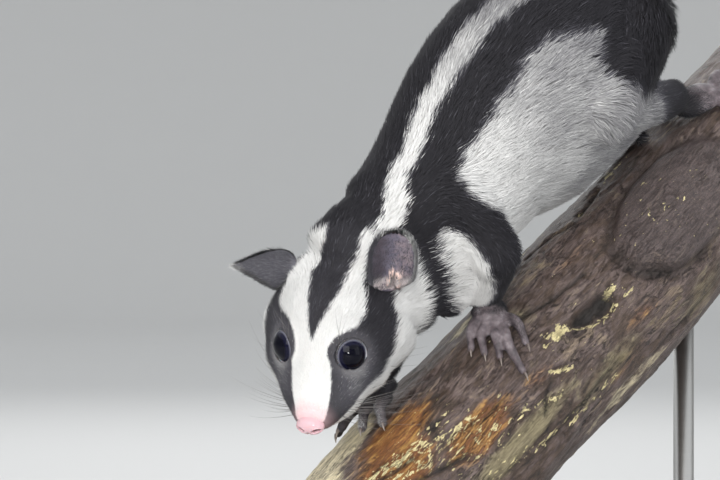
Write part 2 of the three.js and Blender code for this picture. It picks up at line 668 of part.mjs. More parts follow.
const perchGrown = perchShape(GAP);
for (const { parts, first, second, palm: pad, digits } of Object.values(LIMBS)) {
  const upper = without(limb(first), bodyGrown, headGrown);
  const lower = without(limb(second), limb({ ...first, grow: GAP }), bodyGrown, headGrown, perchGrown);
  const rooted = digits.map((each, i) => digit({ ...each, joints: [rootIn(pad, i / 4), ...each.joints] }));
  const hand = join(palm(pad), ...rooted);
  place(perch, parts[0], upper, DARK_FUR);
  place(perch, parts[1], lower, DARK_FUR);
  const around = [limb({ ...second, grow: GAP }), bodyGrown, headGrown, perchGrown];
  place(perch, parts[2], without(hand, ...around), PAW_SKIN);
}

const [firstCut, secondCut] = TAIL_CUTS;
const tailMiddle = tailPart(firstCut, secondCut);
const tailTip = tailPart(secondCut, 1);
place(perch, "tail_base", without(tailPart(0, firstCut), bodyGrown), DARK_FUR);
place(perch, "tail_middle", without(tailMiddle, tailPart(0, firstCut, GAP)), DARK_FUR);
place(perch, "tail_tip", without(tailTip, tailPart(firstCut, secondCut, GAP)), PALE_FUR);

// The stand
// A rod rises from the base into the branch's underside, at a place x along the branch.
const RODS = { stand_rod_lower: -72, stand_rod_upper: 104 };

function rodShape(x, grow) {
  const underside = PERCH_RADIUS / Math.cos(PERCH_RISE);
  const top = PERCH_HEIGHT + x * Math.sin(PERCH_RISE) - underside + ROD_SUNK + (grow ? 1.5 : 0);
  const bottom = BASE.thickness + (grow ? -5 : GAP);
  const rod = new THREE.CylinderGeometry(ROD_RADIUS + grow, ROD_RADIUS + grow, top - bottom, 20);
  rod.rotateX(Math.PI / 2);
  rod.translate(x * Math.cos(PERCH_RISE) + PERCH_SHIFT, 0, (top + bottom) / 2);
  return solid(rod);
}

const worldToPerch = new THREE.Matrix4().makeRotationY(PERCH_RISE);
worldToPerch.multiply(new THREE.Matrix4().makeTranslation(-PERCH_SHIFT, 0, -PERCH_HEIGHT));
const rodHoles = Object.values(RODS).map((x) => rodShape(x, GAP).transform([...worldToPerch.elements]));
place(perch, "perch_log", without(perchShape(0), ...rodHoles), BARK);
for (const [name, x] of Object.entries(RODS)) place(object, name, rodShape(x, 0), ROD_METAL);

function baseShape() {
  const { length, width, thickness, corner } = BASE;
  const outline = new THREE.Shape();
  const [a, b] = [length / 2 - corner, width / 2 - corner];
  outline.absarc(a, b, corner, 0, Math.PI / 2);
  outline.absarc(-a, b, corner, Math.PI / 2, Math.PI);
  outline.absarc(-a, -b, corner, Math.PI, 1.5 * Math.PI);
  outline.absarc(a, -b, corner, 1.5 * Math.PI, 2 * Math.PI);
  const bevel = 1.5;
  const plate = new THREE.ExtrudeGeometry(outline, {
    depth: thickness - 2 * bevel, bevelThickness: bevel, bevelSize: bevel, bevelOffset: -bevel,
    bevelSegments: 1, curveSegments: 4,
  });
  plate.translate(0, 0, bevel);
  return solid(mergeVertices(bareOf(plate), 1e-4));
}

function bareOf(geometry) {
  const bare = geometry.clone();
  bare.deleteAttribute("normal");
  bare.deleteAttribute("uv");
  return bare;
}

place(object, "stand_base", baseShape(), BASE_FINISH);

export default object;
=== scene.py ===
"""Looks of a still, life-size striped possum on a cut branch and a display stand."""

from __future__ import annotations

import logging
import math
from dataclasses import dataclass
from enum import Enum

import bmesh
import bpy
import numpy as np
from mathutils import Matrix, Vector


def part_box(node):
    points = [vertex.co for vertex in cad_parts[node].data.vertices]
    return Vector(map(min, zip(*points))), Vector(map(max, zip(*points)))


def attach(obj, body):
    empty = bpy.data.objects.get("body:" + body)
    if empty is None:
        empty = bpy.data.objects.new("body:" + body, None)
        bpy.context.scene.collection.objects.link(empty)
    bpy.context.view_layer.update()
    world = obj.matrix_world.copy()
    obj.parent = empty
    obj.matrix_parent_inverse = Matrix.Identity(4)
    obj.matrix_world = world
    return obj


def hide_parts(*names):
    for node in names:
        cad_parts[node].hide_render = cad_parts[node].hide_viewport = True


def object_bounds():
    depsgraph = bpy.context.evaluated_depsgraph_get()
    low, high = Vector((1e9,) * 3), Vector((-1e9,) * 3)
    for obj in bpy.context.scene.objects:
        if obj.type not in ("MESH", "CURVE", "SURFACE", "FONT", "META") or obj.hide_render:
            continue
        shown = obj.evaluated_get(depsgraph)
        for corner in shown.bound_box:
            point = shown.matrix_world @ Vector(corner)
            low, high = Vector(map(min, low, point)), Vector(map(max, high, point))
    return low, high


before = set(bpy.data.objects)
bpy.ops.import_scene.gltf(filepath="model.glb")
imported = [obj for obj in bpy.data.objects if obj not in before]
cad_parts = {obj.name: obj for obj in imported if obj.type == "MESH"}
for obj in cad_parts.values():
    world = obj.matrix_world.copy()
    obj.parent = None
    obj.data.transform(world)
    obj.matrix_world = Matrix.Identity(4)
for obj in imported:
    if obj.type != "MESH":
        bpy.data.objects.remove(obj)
CAD_BOX = [[float(x) for x in corner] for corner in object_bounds()]

log = logging.getLogger("striped_possum")

Colour = Point = tuple[float, float, float]
Point2 = tuple[float, float]

MM = 0.001
BODY = "root"
UP = np.array([0.0, 0.0, 1.0])

# The branch's own frame: x along it, y to the animal's right, z out of its top, in millimetres.
RISE = math.radians(39.0)
BRANCH_AT = np.array([-22.0, 0.0, 140.0])
BRANCH_AXES = np.array([
    [math.cos(RISE), 0.0, math.sin(RISE)],
    [0.0, 1.0, 0.0],
    [-math.sin(RISE), 0.0, math.cos(RISE)],
])

# The head's frame in the branch's: forward, to its left, and up, from midway between the eyes.
HEAD_AT = np.array([-64.2, -3.0, 70.5])
HEAD_AXES = np.array([[-0.897, -0.25, -0.364], [0.408, -0.786, -0.464], [-0.171, -0.565, 0.807]])
HEAD_AXES /= np.linalg.norm(HEAD_AXES, axis=1, keepdims=True)

# How far the muzzle turns to the animal's left, and between which places ahead of the eyes.
MUZZLE_TURN = 2.8
MUZZLE_TURNS = (-4.0, 24.0)


class Side(Enum):
    """The two sides of the animal. The value is the sign of the head's leftward axis."""

    LEFT = 1
    RIGHT = -1


def from_branch(points: np.ndarray) -> np.ndarray:
    """Points in the branch's frame, in millimetres, as points of the part, in metres."""
    return (np.asarray(points, float) @ BRANCH_AXES + BRANCH_AT) * MM


def to_branch(points: np.ndarray) -> np.ndarray:
    """Points of the part, in metres, as points in the branch's frame, in millimetres."""
    return (np.asarray(points, float) / MM - BRANCH_AT) @ BRANCH_AXES.T


def muzzle_turn(ahead: np.ndarray) -> np.ndarray:
    """How far the head's middle lies to its left at places ahead of the eyes, in millimetres."""
    share = np.clip((ahead - MUZZLE_TURNS[0]) / (MUZZLE_TURNS[1] - MUZZLE_TURNS[0]), 0.0, 1.0)
    return MUZZLE_TURN * share * share * (3.0 - 2.0 * share)


def head_to_branch(points: np.ndarray) -> np.ndarray:
    """Points in the head's frame as points in the branch's, both in millimetres."""
    points = np.array(points, float)
    points[..., 1] += muzzle_turn(points[..., 0])
    return points @ HEAD_AXES + HEAD_AT


def branch_to_head(points: np.ndarray) -> np.ndarray:
    """Points in the branch's frame as points in the head's, both in millimetres."""
    points = (np.asarray(points, float) - HEAD_AT) @ HEAD_AXES.T
    points[..., 1] -= muzzle_turn(points[..., 0])
    return points


def unit(vectors: np.ndarray) -> np.ndarray:
    """Vectors brought to length one."""
    vectors = np.asarray(vectors, float)
    return vectors / np.maximum(np.linalg.norm(vectors, axis=-1, keepdims=True), 1e-12)


def bell(values: np.ndarray, at: float, width: float) -> np.ndarray:
    """A smooth hump of height 1 over one value."""
    return np.exp(-(((values - at) / width) ** 2))


def step(low: float, high: float, values: np.ndarray) -> np.ndarray:
    """A smooth rise from 0 at low to 1 at high, which may be the smaller of the two."""
    share = np.clip((np.asarray(values, float) - low) / (high - low), 0.0, 1.0)
    return share * share * (3.0 - 2.0 * share)


class Path:
    """A smooth curve through rows of values, each row led by its share of the way."""

    def __init__(self, rows: list[list[float]]) -> None:
        """Keeps the rows and works out a slope at each.

        Args:
            rows: lists of a share from 0 to 1 and the values there.
        """
        table = np.array(rows, float)
        self.at, self.values = table[:, 0], table[:, 1:]
        self.slopes = np.gradient(self.values, self.at, axis=0)

    def __call__(self, share: np.ndarray) -> np.ndarray:
        """The values at one or more shares of the way."""
        share = np.clip(np.asarray(share, float), self.at[0], self.at[-1])
        i = np.clip(np.searchsorted(self.at, share, side="right") - 1, 0, len(self.at) - 2)
        span = (self.at[i + 1] - self.at[i])[..., None]
        f = (share - self.at[i])[..., None] / span
        a, b = self.values[i], self.values[i + 1]
        p, q = self.slopes[i] * span, self.slopes[i + 1] * span
        return a + f * p + f * f * (3 * (b - a) - 2 * p - q) + f**3 * (2 * (a - b) + p + q)


class Grain:
    """Smooth repeatable noise in space, from -1 to 1."""

    def __init__(self, seed: int) -> None:
        """Draws the table that the noise is read from.

        Args:
            seed: the number that fixes the draw.
        """
        self.table = np.random.default_rng(seed).uniform(-1.0, 1.0, 4096)

    def __call__(self, points: np.ndarray, size: float, octaves: int = 1) -> np.ndarray:
        """The noise at points.

        Args:
            points: an array of places.
            size: the distance between the noise's own knots, in the points' unit.
            octaves: how many finer layers are added.

        Returns:
            One value for each point.
        """
        total = np.zeros(len(points))
        weight, reach = 1.0, 0.0
        for octave in range(octaves):
            grid = np.asarray(points, float) * (2.0**octave / size) + 17.3 * octave
            cell = np.floor(grid).astype(np.int64)
            f = grid - cell
            f = f * f * (3.0 - 2.0 * f)
            value = np.zeros(len(points))
            for corner in range(8):
                bit = np.array([corner & 1, corner >> 1 & 1, corner >> 2 & 1])
                key = (cell + bit) * np.array([73856093, 19349663, 83492791])
                share = np.prod(np.where(bit, f, 1.0 - f), axis=1)
                value += share * self.table[(key[:, 0] ^ key[:, 1] ^ key[:, 2]) & 4095]
            total += weight * value
            reach += weight
            weight *= 0.5
        return total / reach


# Meshes


def add_object(name: str, mesh: bpy.types.Mesh) -> bpy.types.Object:
    """A new object in the scene that holds a mesh."""
    mesh.name = name
    piece = bpy.data.objects.new(name, mesh)
    bpy.context.scene.collection.objects.link(piece)
    return piece


def coordinates(mesh: bpy.types.Mesh) -> np.ndarray:
    """The places of a mesh's vertices."""
    values = np.empty(len(mesh.vertices) * 3, np.float32)
    mesh.vertices.foreach_get("co", values)
    return values.reshape(-1, 3).astype(float)


def move_vertices(mesh: bpy.types.Mesh, points: np.ndarray) -> None:
    """Puts a mesh's vertices at new places."""
    mesh.vertices.foreach_set("co", np.asarray(points, np.float32).ravel())
    mesh.update()


def normals(mesh: bpy.types.Mesh) -> np.ndarray:
    """The directions out of a mesh at its vertices."""
    values = np.empty(len(mesh.vertices) * 3, np.float32)
    mesh.vertex_normals.foreach_get("vector", values)
    return values.reshape(-1, 3).astype(float)


def store(mesh: bpy.types.Mesh, name: str, values: np.ndarray) -> None:
    """Keeps one number for each vertex as a named attribute."""
    attribute = mesh.attributes.get(name) or mesh.attributes.new(name, "FLOAT", "POINT")
    attribute.data.foreach_set("value", np.asarray(values, np.float32).ravel())


def finished(made: bmesh.types.BMesh, name: str) -> bpy.types.Mesh:
    """A mesh with the shape of a bmesh, which is freed."""
    mesh = bpy.data.meshes.new(name)
    made.to_mesh(mesh)
    made.free()
    return mesh


def turned(
    name: str, profile: list[Point2], steps: int, merge: float, at: Point = (0, 0, 0)
) -> bpy.types.Mesh:
    """A mesh turned round an upright axis.

    Args:
        name: the mesh's name.
        profile: the distance from the axis and the height of each point of its outline, in metres.
        steps: how many faces there are round it.
        merge: the distance in metres within which points are made one.
        at: where the axis stands.

    Returns:
        The mesh.
    """
    made = bmesh.new()
    chain = [made.verts.new((reach, 0.0, height)) for reach, height in profile]
    edges = [made.edges.new(pair) for pair in zip(chain, chain[1:])]
    full_spin(made, [*chain, *edges], (0, 0, 0), (0, 0, 1), steps, merge)
    bmesh.ops.translate(made, vec=at, verts=made.verts)
    return finished(made, name)


def full_spin(
    made: bmesh.types.BMesh, start: list, centre: Point, axis: Point, steps: int, merge: float
) -> None:
    """Spins the starting parts once round, closes the seam and turns the faces outwards."""
    bmesh.ops.spin(
        made, geom=start, cent=centre, axis=axis, angle=2 * math.pi, steps=steps, use_merge=True
    )
    bmesh.ops.remove_doubles(made, verts=made.verts, dist=merge)
    bmesh.ops.recalc_face_normals(made, faces=made.faces)


def smooth_shaded(mesh: bpy.types.Mesh) -> bpy.types.Mesh:
    """The same mesh with every face shaded smooth."""
    mesh.polygons.foreach_set("use_smooth", np.ones(len(mesh.polygons), bool))
    return mesh


def applied(piece: bpy.types.Object) -> bpy.types.Object:
    """The same object with its modifiers made part of its mesh."""
    view = bpy.context.evaluated_depsgraph_get()
    made = bpy.data.meshes.new_from_object(piece.evaluated_get(view))
    piece.modifiers.clear()
    old, piece.data = piece.data, made
    bpy.data.meshes.remove(old)
    return piece


@dataclass
class Ball:
    """A unit sphere's mesh, with each vertex's turn round it and share from pole to pole."""

    mesh: bpy.types.Mesh
    turn: np.ndarray
    share: np.ndarray

    @classmethod
    def make(cls, around: int, along: int) -> Ball:
        """A sphere with so many faces round it and along it."""
        made = bmesh.new()
        bmesh.ops.create_uvsphere(made, u_segments=around, v_segments=along, radius=1.0)
        mesh = finished(made, "ball")
        at = coordinates(mesh)
        share = np.round(np.arccos(np.clip(-at[:, 2], -1, 1)) / math.pi * along) / along
        return cls(smooth_shaded(mesh), np.arctan2(at[:, 1], at[:, 0]), share)


def loft(
    ball: Ball, path: Path, side: np.ndarray, ends: tuple[float, float] = (0.1, 0.1)
) -> np.ndarray:
    """Draws a ball out into a tube along a path.

    Args:
        ball: the sphere to shape.
        path: rows of place, half width and half height, in millimetres.
        side: the direction of the width.
        ends: the shares of the way over which each end is rounded.

    Returns:
        A place for each of the ball's vertices.
    """
    t = ball.share - 0.09 * np.sin(2 * math.pi * ball.share)
    row = path(t)
    tangent = unit(path(t + 1e-3)[:, :3] - path(t - 1e-3)[:, :3])
    across = unit(side - (tangent @ side)[:, None] * tangent)
    rise = np.cross(tangent, across)
    end = np.minimum(np.minimum(t / ends[0], (1 - t) / ends[1]), 1.0)
    swell = np.sqrt(np.maximum(1 - (1 - end) ** 2, 0.0))
    out = (
        across * (np.cos(ball.turn) * row[:, 3])[:, None]
        + rise * (np.sin(ball.turn) * row[:, 4])[:, None]
    )
    return row[:, :3] + out * swell[:, None]


def repeated(
    name: str, points: np.ndarray, loops: np.ndarray, starts: np.ndarray
) -> bpy.types.Mesh:
    """One mesh of many shapes that have the same faces.

    Args:
        name: the mesh's name.
        points: the places of each shape's vertices, in metres.
        loops: the vertex within a shape at each corner of its faces.
        starts: the first corner of each face.

    Returns:
        The mesh.
    """
    count, size = points.shape[:2]
    shifts = np.arange(count)[:, None]
    mesh = bpy.data.meshes.new(name)
    mesh.vertices.add(size * count)
    mesh.loops.add(len(loops) * count)
    mesh.polygons.add(len(starts) * count)
    mesh.vertices.foreach_set("co", points.astype(np.float32).ravel())
    corners = loops[None] + shifts * size
    mesh.loops.foreach_set("vertex_index", corners.astype(np.int32).ravel())
    firsts = starts[None] + shifts * len(loops)
    mesh.polygons.foreach_set("loop_start", firsts.astype(np.int32).ravel())
    mesh.update(calc_edges=True)
    return smooth_shaded(mesh)


def joined(name: str, template: bpy.types.Mesh, copies: list[np.ndarray]) -> bpy.types.Mesh:
    """One mesh of many shapes that share a template's faces."""
    loops = np.empty(len(template.loops), np.int32)
    template.loops.foreach_get("vertex_index", loops)
    starts = np.empty(len(template.polygons), np.int32)
    template.polygons.foreach_get("loop_start", starts)
    return repeated(name, np.stack(copies), loops, starts)


# Finishes


class Wire:
    """A socket of a finish that takes part in sums."""

    def __init__(self, bench: Bench, socket: bpy.types.NodeSocket) -> None:
        """Keeps the socket and the bench it is on."""
        self.bench, self.socket = bench, socket

    def _maths(self, operation: str, *values: Wire | float) -> Wire:
        """The result of a Math node on some values."""
        return self.bench.node("ShaderNodeMath", dict(enumerate(values)), operation=operation)

    def __add__(self, other: Wire | float) -> Wire:
        """The sum of two values."""
        return self._maths("ADD", self, other)

    def __sub__(self, other: Wire | float) -> Wire:
        """The difference of two values."""
        return self._maths("SUBTRACT", self, other)

    def __rsub__(self, other: float) -> Wire:
        """A number less this value."""
        return self._maths("SUBTRACT", other, self)

    def __mul__(self, other: Wire | float) -> Wire:
        """The product of two values."""
        return self._maths("MULTIPLY", self, other)

    __radd__ = __add__
    __rmul__ = __mul__

    def band(self, low: float, high: float) -> Wire:
        """A smooth rise from 0 at low to 1 at high."""
        return self.bench.node(
            "ShaderNodeMapRange", {0: self, 1: low, 2: high}, interpolation_type="SMOOTHSTEP", out=0
        )


class Bench:
    """Where one finish is put together from nodes."""

    def __init__(self, name: str) -> None:
        """Starts an empty finish with a name."""
        self.material = bpy.data.materials.new(name)
        self.material.use_nodes = True
        self.tree = self.material.node_tree
        self.tree.nodes.clear()

    def node(
        self, kind: str, values: dict | None = None, out: int | str = 0, **settings: object
    ) -> Wire:
        """Adds any node.

        Args:
            kind: the node's type.
            values: a value or a wire for each input, by its number or name.
            out: the output that the wire is of.
            **settings: the node's own settings, set first.

        Returns:
            A wire from the chosen output.
        """
        made = self.tree.nodes.new(kind)
        stops = settings.pop("stops", None)
        for key, value in settings.items():
            setattr(made, key, value)
        if stops:
            ramp = made.color_ramp.elements
            while len(ramp) < len(stops):
                ramp.new(1.0)
            for element, (at, colour) in zip(ramp, stops):
                element.position, element.color = at, (*colour, 1.0)
        for key, value in (values or {}).items():
            socket = made.inputs[key]
            if isinstance(value, Wire):
                self.tree.links.new(value.socket, socket)
            elif isinstance(value, tuple) and len(value) == 3 and socket.type == "RGBA":
                socket.default_value = (*value, 1.0)
            else:
                socket.default_value = value
        return Wire(self, made.outputs[out])

    def own(self, name: str) -> Wire:
        """The mesh's own number of that name."""
        return self.node("ShaderNodeAttribute", out="Fac", attribute_name=name)

    def place(
        self, stretch: tuple[float, float, float] = (1, 1, 1),
        turn: tuple[float, float, float] = (0, 0, 0)
    ) -> Wire:
        """The place on the object, turned and then stretched."""
        here = self.node("ShaderNodeTexCoord", out="Object")
        turned = self.node("ShaderNodeMapping", {"Vector": here, "Rotation": turn})
        return self.node("ShaderNodeMapping", {"Vector": turned, "Scale": stretch})

    def noise(
        self, place: Wire, scale: float, detail: float = 3.0, rough: float = 0.55, bend: float = 0.0
    ) -> Wire:
        """Cloudy noise, from 0 to 1."""
        values = {
            "Vector": place, "Scale": scale, "Detail": detail, "Roughness": rough,
            "Distortion": bend
        }
        return self.node("ShaderNodeTexNoise", values)

    def blend(self, factor: Wire | float, a: Wire | tuple, b: Wire | tuple) -> Wire:
        """A colour between two others."""
        return self.node("ShaderNodeMix", {0: factor, 6: a, 7: b}, out=2, data_type="RGBA")

    def ramp(self, factor: Wire, stops: list[tuple[float, tuple[float, float, float]]]) -> Wire:
        """A colour looked up along a ramp."""
        return self.node("ShaderNodeValToRGB", {0: factor}, stops=stops)

    def bump(self, height: Wire, depth: float, strength: float = 1.0) -> Wire:
        """A surface that rises and falls by a height, of a depth in metres."""
        return self.node(
            "ShaderNodeBump", {"Height": height, "Distance": depth, "Strength": strength}
        )

    def surface(self, **values: Wire | float | tuple) -> bpy.types.Material:
        """Ends the finish with a Principled shader of these values.

        Args:
            **values: the shader's inputs, with _ in place of a space.

        Returns:
            The finished material.
        """
        named = {key.replace("_", " "): value for key, value in values.items()}
        shader = self.node("ShaderNodeBsdfPrincipled", named, out="BSDF")
        end = self.tree.nodes.new("ShaderNodeOutputMaterial")
        self.tree.links.new(shader.socket, end.inputs["Surface"])
        return self.material


@dataclass(frozen=True)
class FurFinish:
    """Soft hair whose shade runs from black through grey to white."""

    black: Colour = (0.0085, 0.0078, 0.0098)
    grey: Colour = (0.098, 0.095, 0.112)
    white: Colour = (0.87, 0.865, 0.85)
    pink: Colour = (0.80, 0.52, 0.54)

    def make(self, name: str) -> bpy.types.Material:
        """Builds the finish for meshes that hold pale, tip, tone and blush."""
        bench = Bench(name)
        pale, tip, tone = bench.own("pale"), bench.own("tip"), bench.own("tone")
        shade = pale + (tone - 0.5) * 0.12 * pale
        colour = bench.ramp(shade, [(0.0, self.black), (0.32, self.grey), (0.9, self.white)])
        colour = bench.blend(bench.own("blush"), colour, self.pink)
        # Painted shade: each tuft is darker towards its root, where shade falls deep in the coat;
        # the tone varies at random.
        light = 0.86 + 0.16 * tip + (tone - 0.5) * 0.14
        colour = bench.node("ShaderNodeVectorMath", {0: colour, 3: light}, operation="SCALE")
        return bench.surface(
            Base_Color=colour,
            Roughness=0.74 - 0.1 * tip,
            Specular_IOR_Level=0.18,
            Sheen_Weight=0.05,
            Sheen_Roughness=0.5,
        )


@dataclass(frozen=True)
class HideFinish:
    """The hide: the coat's shades under the fur, and bare mauve skin on the hands and feet."""

    black: Colour = (0.007, 0.006, 0.008)
    grey: Colour = (0.07, 0.066, 0.075)
    white: Colour = (0.82, 0.81, 0.79)
    skin: Colour = (0.150, 0.122, 0.132)
    fold: Colour = (0.048, 0.036, 0.042)
    glow: Colour = (0.30, 0.262, 0.278)
    pink: Colour = (0.80, 0.52, 0.54)

    def make(self, name: str) -> bpy.types.Material:
        """Builds the finish for a mesh that holds pale, bare and blush."""
        bench = Bench(name)
        place = bench.place()
        coat = bench.ramp(
            bench.own("pale"), [(0.0, self.black), (0.32, self.grey), (0.9, self.white)]
        )
        cloud = bench.noise(place, 260.0, 4.0)
        skin = bench.ramp(cloud, [(0.3, self.fold), (0.52, self.skin), (0.72, self.glow)])
        bare = bench.own("bare")
        creases = bench.node(
            "ShaderNodeTexVoronoi", {"Vector": place, "Scale": 1500.0}, feature="DISTANCE_TO_EDGE"
        )
        height = creases.band(0.0, 0.25) * 0.5 + bench.noise(place, 900.0, 3.0) * 0.5
        return bench.surface(
            Base_Color=bench.blend(bench.own("blush"), bench.blend(bare, coat, skin), self.pink),
            Roughness=0.68 - 0.2 * bare,
            Subsurface_Weight=0.08,
            Subsurface_Radius=(0.003, 0.0012, 0.0008),
            Normal=bench.bump(height, 0.00018, 0.8),
        )


@dataclass(frozen=True)
class EarFinish:
    """Thin ear skin, dark at its rim, with pink folds deep in the cup."""

    rim: Colour = (0.060, 0.042, 0.050)
    cup: Colour = (0.142, 0.126, 0.170)
    deep: Colour = (0.80, 0.60, 0.54)
    back: Colour = (0.085, 0.082, 0.10)

    def make(self, name: str) -> bpy.types.Material:
        """Builds the finish for a mesh that holds inner and root."""
        bench = Bench(name)
        place = bench.place()
        cloud = bench.noise(place, 320.0, 4.0)
        inside = bench.ramp(
            bench.own("root") + (cloud - 0.5) * 0.22,
            [(0.25, self.rim), (0.5, self.cup), (0.86, self.deep)]
        )
        colour = bench.blend(bench.own("inner"), self.back, inside)
        return bench.surface(
            Base_Color=colour,
            Roughness=0.5 + 0.2 * cloud,
            Subsurface_Weight=0.15,
            Subsurface_Radius=(0.004, 0.0015, 0.001),
            Normal=bench.bump(bench.noise(place, 700.0, 4.0), 0.0002),
        )


@dataclass(frozen=True)
class EyeFinish:
    """A wet black eye with a lilac-grey ring where it meets the lids."""

    pupil: Colour = (0.002, 0.002, 0.006)
    iris: Colour = (0.006, 0.006, 0.020)
    ring: Colour = (0.20, 0.20, 0.25)

    def make(self, name: str) -> bpy.types.Material:
        """Builds the finish for a mesh that holds its angle from the eye's axis as off."""
        bench = Bench(name)
        off = bench.own("off")
        colour = bench.ramp(
            off, [(0.42, self.pupil), (0.50, self.iris), (0.575, self.iris), (0.65, self.ring)]
        )
        return bench.surface(
            Base_Color=colour, Roughness=0.02, Specular_IOR_Level=0.16
        )


@dataclass(frozen=True)
class MoistFinish:
    """Wet bare skin, such as a lid or the nose."""

    light: Colour
    dark: Colour
    rough: float = 0.28
    grain: float = 1500.0
    depth: float = 0.0001

    def make(self, name: str) -> bpy.types.Material:
        """Builds the finish for a mesh that holds shade, from light at 0 to dark at 1."""
        bench = Bench(name)
        place = bench.place()
        cells = bench.node(
            "ShaderNodeTexVoronoi", {"Vector": place, "Scale": self.grain},
            feature="DISTANCE_TO_EDGE"
        )
        cloud = bench.noise(place, 500.0, 3.0)
        mixed = bench.own("shade") + (cloud - 0.5) * 0.3
        return bench.surface(
            Base_Color=bench.blend(mixed.band(0.0, 1.0), self.light, self.dark),
            Roughness=self.rough + 0.15 * cloud,
            Subsurface_Weight=0.2,
            Subsurface_Radius=(0.003, 0.001, 0.0007),
            Coat_Weight=0.35,
            Coat_Roughness=0.15,
            Normal=bench.bump(cells.band(0.0, 0.3), self.depth, 0.7),
        )


@dataclass(frozen=True)
class HornFinish:
    """Claws: pale horn that darkens towards the root."""

    root: Colour = (0.10, 0.072, 0.066)
    tip: Colour = (0.40, 0.35, 0.31)

    def make(self, name: str) -> bpy.types.Material:
        """Builds the finish for a mesh that holds tip."""
        bench = Bench(name)
        streak = bench.noise(bench.place((1, 1, 1)), 1200.0, 2.0)
        colour = bench.blend(
            (bench.own("tip") + (streak - 0.5) * 0.3).band(0.1, 0.9), self.root, self.tip
        )
        return bench.surface(
            Base_Color=colour, Roughness=0.3 + 0.15 * streak, Coat_Weight=0.3, Coat_Roughness=0.2
        )


@dataclass(frozen=True)
class HairFinish:
    """Stiff single hairs."""

    root: Colour = (0.03, 0.025, 0.025)
    tip: Colour = (0.32, 0.30, 0.29)

    def make(self, name: str) -> bpy.types.Material:
        """Builds the finish for a mesh that holds tip."""
        bench = Bench(name)
        tip = bench.own("tip")
        return bench.surface(
            Base_Color=bench.blend(tip, self.root, self.tip), Roughness=0.4 - 0.1 * tip
        )


@dataclass(frozen=True)
class BarkFinish:
    """Worn bark: purple-brown, with rust and ochre stains, pale bare wood, yellow flakes and
    painted shade in its cracks.
    """

    dark: Colour = (0.020, 0.014, 0.012)
    brown: Colour = (0.088, 0.058, 0.042)
    purple: Colour = (0.140, 0.104, 0.100)
    burr: Colour = (0.046, 0.040, 0.045)
    worn: Colour = (0.29, 0.225, 0.16)
    umber: Colour = (0.085, 0.036, 0.014)
    rust: Colour = (0.27, 0.10, 0.022)
    gold: Colour = (0.50, 0.29, 0.075)
    ochre: Colour = (0.26, 0.225, 0.13)
    bare: Colour = (0.72, 0.64, 0.44)
    flake: Colour = (0.78, 0.69, 0.38)
    # Painted shade: the near-black laid into the cracks, furrows, hollow and the knot's groove.
    crack: Colour = (0.008, 0.006, 0.005)

    def make(self, name: str) -> bpy.types.Material:
        """Builds the finish for a mesh that holds the stains and marks of the bark and the painted
        shade in its cracks.
        """
        bench = Bench(name)
        turned = (0.0, RISE, 0.0)
        place = bench.place()
        fibre = bench.noise(bench.place((0.14, 1.0, 1.0), turned), 1500.0, 6.0, 0.7, 0.4)
        streaky = bench.noise(bench.place((0.2, 1.0, 1.0), turned), 420.0, 8.0, 0.68, 0.9)
        patchy = bench.noise(bench.place((0.5, 1.0, 1.0), turned), 130.0, 10.0, 0.7, 0.9)
        cloud = bench.noise(place, 42.0, 6.0, 0.6)
        fine = bench.noise(place, 2100.0, 5.0, 0.72)
        ragged = (patchy - 0.5) * 1.3 + (streaky - 0.5) * 1.1
        base = bench.ramp(
            patchy * 0.45 + streaky * 0.3 + cloud * 0.25 + (fine - 0.5) * 0.12,
            [(0.39, self.dark), (0.455, self.brown), (0.52, self.purple), (0.61, self.worn)],
        )
        knot = bench.own("knot")
        base = bench.blend(
            knot * 0.75, base, bench.blend(fine.band(0.38, 0.64), self.burr, self.purple)
        )
        stain = streaky * 0.7 + fine * 0.3
        warm = bench.ramp(stain, [(0.36, self.umber), (0.49, self.rust), (0.62, self.gold)])
        colour = bench.blend((bench.own("rust") + ragged * 0.75).band(0.34, 0.8) * 0.9, base, warm)
        colour = bench.blend(
            (bench.own("ochre") + ragged * 0.8).band(0.36, 0.8) * 0.85, colour, self.ochre
        )
        colour = bench.blend((bench.own("bare") + ragged * 0.5).band(0.36, 0.6), colour, self.bare)
        specks = bench.noise(bench.place((0.4, 1.0, 1.0), turned), 760.0, 3.0, 0.6, 0.5)
        chips = (bench.own("flake") * 0.9 + (specks - 0.5) * 3.0).band(0.66, 0.71)
        colour = bench.blend(chips, colour, self.flake)
        streak = bench.blend(fibre.band(0.34, 0.62), (0.42, 0.38, 0.36), (1.15, 1.13, 1.1))
        colour = bench.node(
            "ShaderNodeMix", {0: 0.75, 6: colour, 7: streak}, out=2, data_type="RGBA",
            blend_type="MULTIPLY"
        )
        seam = (streaky - 0.5) * (streaky - 0.5)
        hair_crack = (1.0 - (seam * 2600.0).band(0.0, 1.0)) * cloud.band(0.42, 0.58)
        # Painted shade: the cracks and fine hairline cracks are painted near black as well as
        # bumped.
        colour = bench.blend(
            bench.own("crack") + 0.75 * hair_crack * (1.0 - knot), colour, self.crack
        )
        rings = bench.node(
            "ShaderNodeMath", {0: bench.own("ring") * 3.6 + cloud * 6.0}, operation="SINE"
        )
        end = bench.own("end")
        wood = bench.blend(rings.band(-0.6, 0.9), (0.30, 0.19, 0.10), (0.46, 0.33, 0.19))
        colour = bench.blend(
            end, colour, bench.blend(fine.band(0.42, 0.36), wood, (0.12, 0.07, 0.04))
        )
        height = (
            patchy * 0.7 + streaky * 0.6 + fibre * 0.35 + fine * 0.15 + chips * 0.25
            - hair_crack * 0.4
        )
        return bench.surface(
            Base_Color=colour,
            Roughness=0.36 + 0.36 * fine + 0.15 * chips,
            Specular_IOR_Level=0.5,
            Normal=bench.bump(height, 0.0014, 0.85),
        )


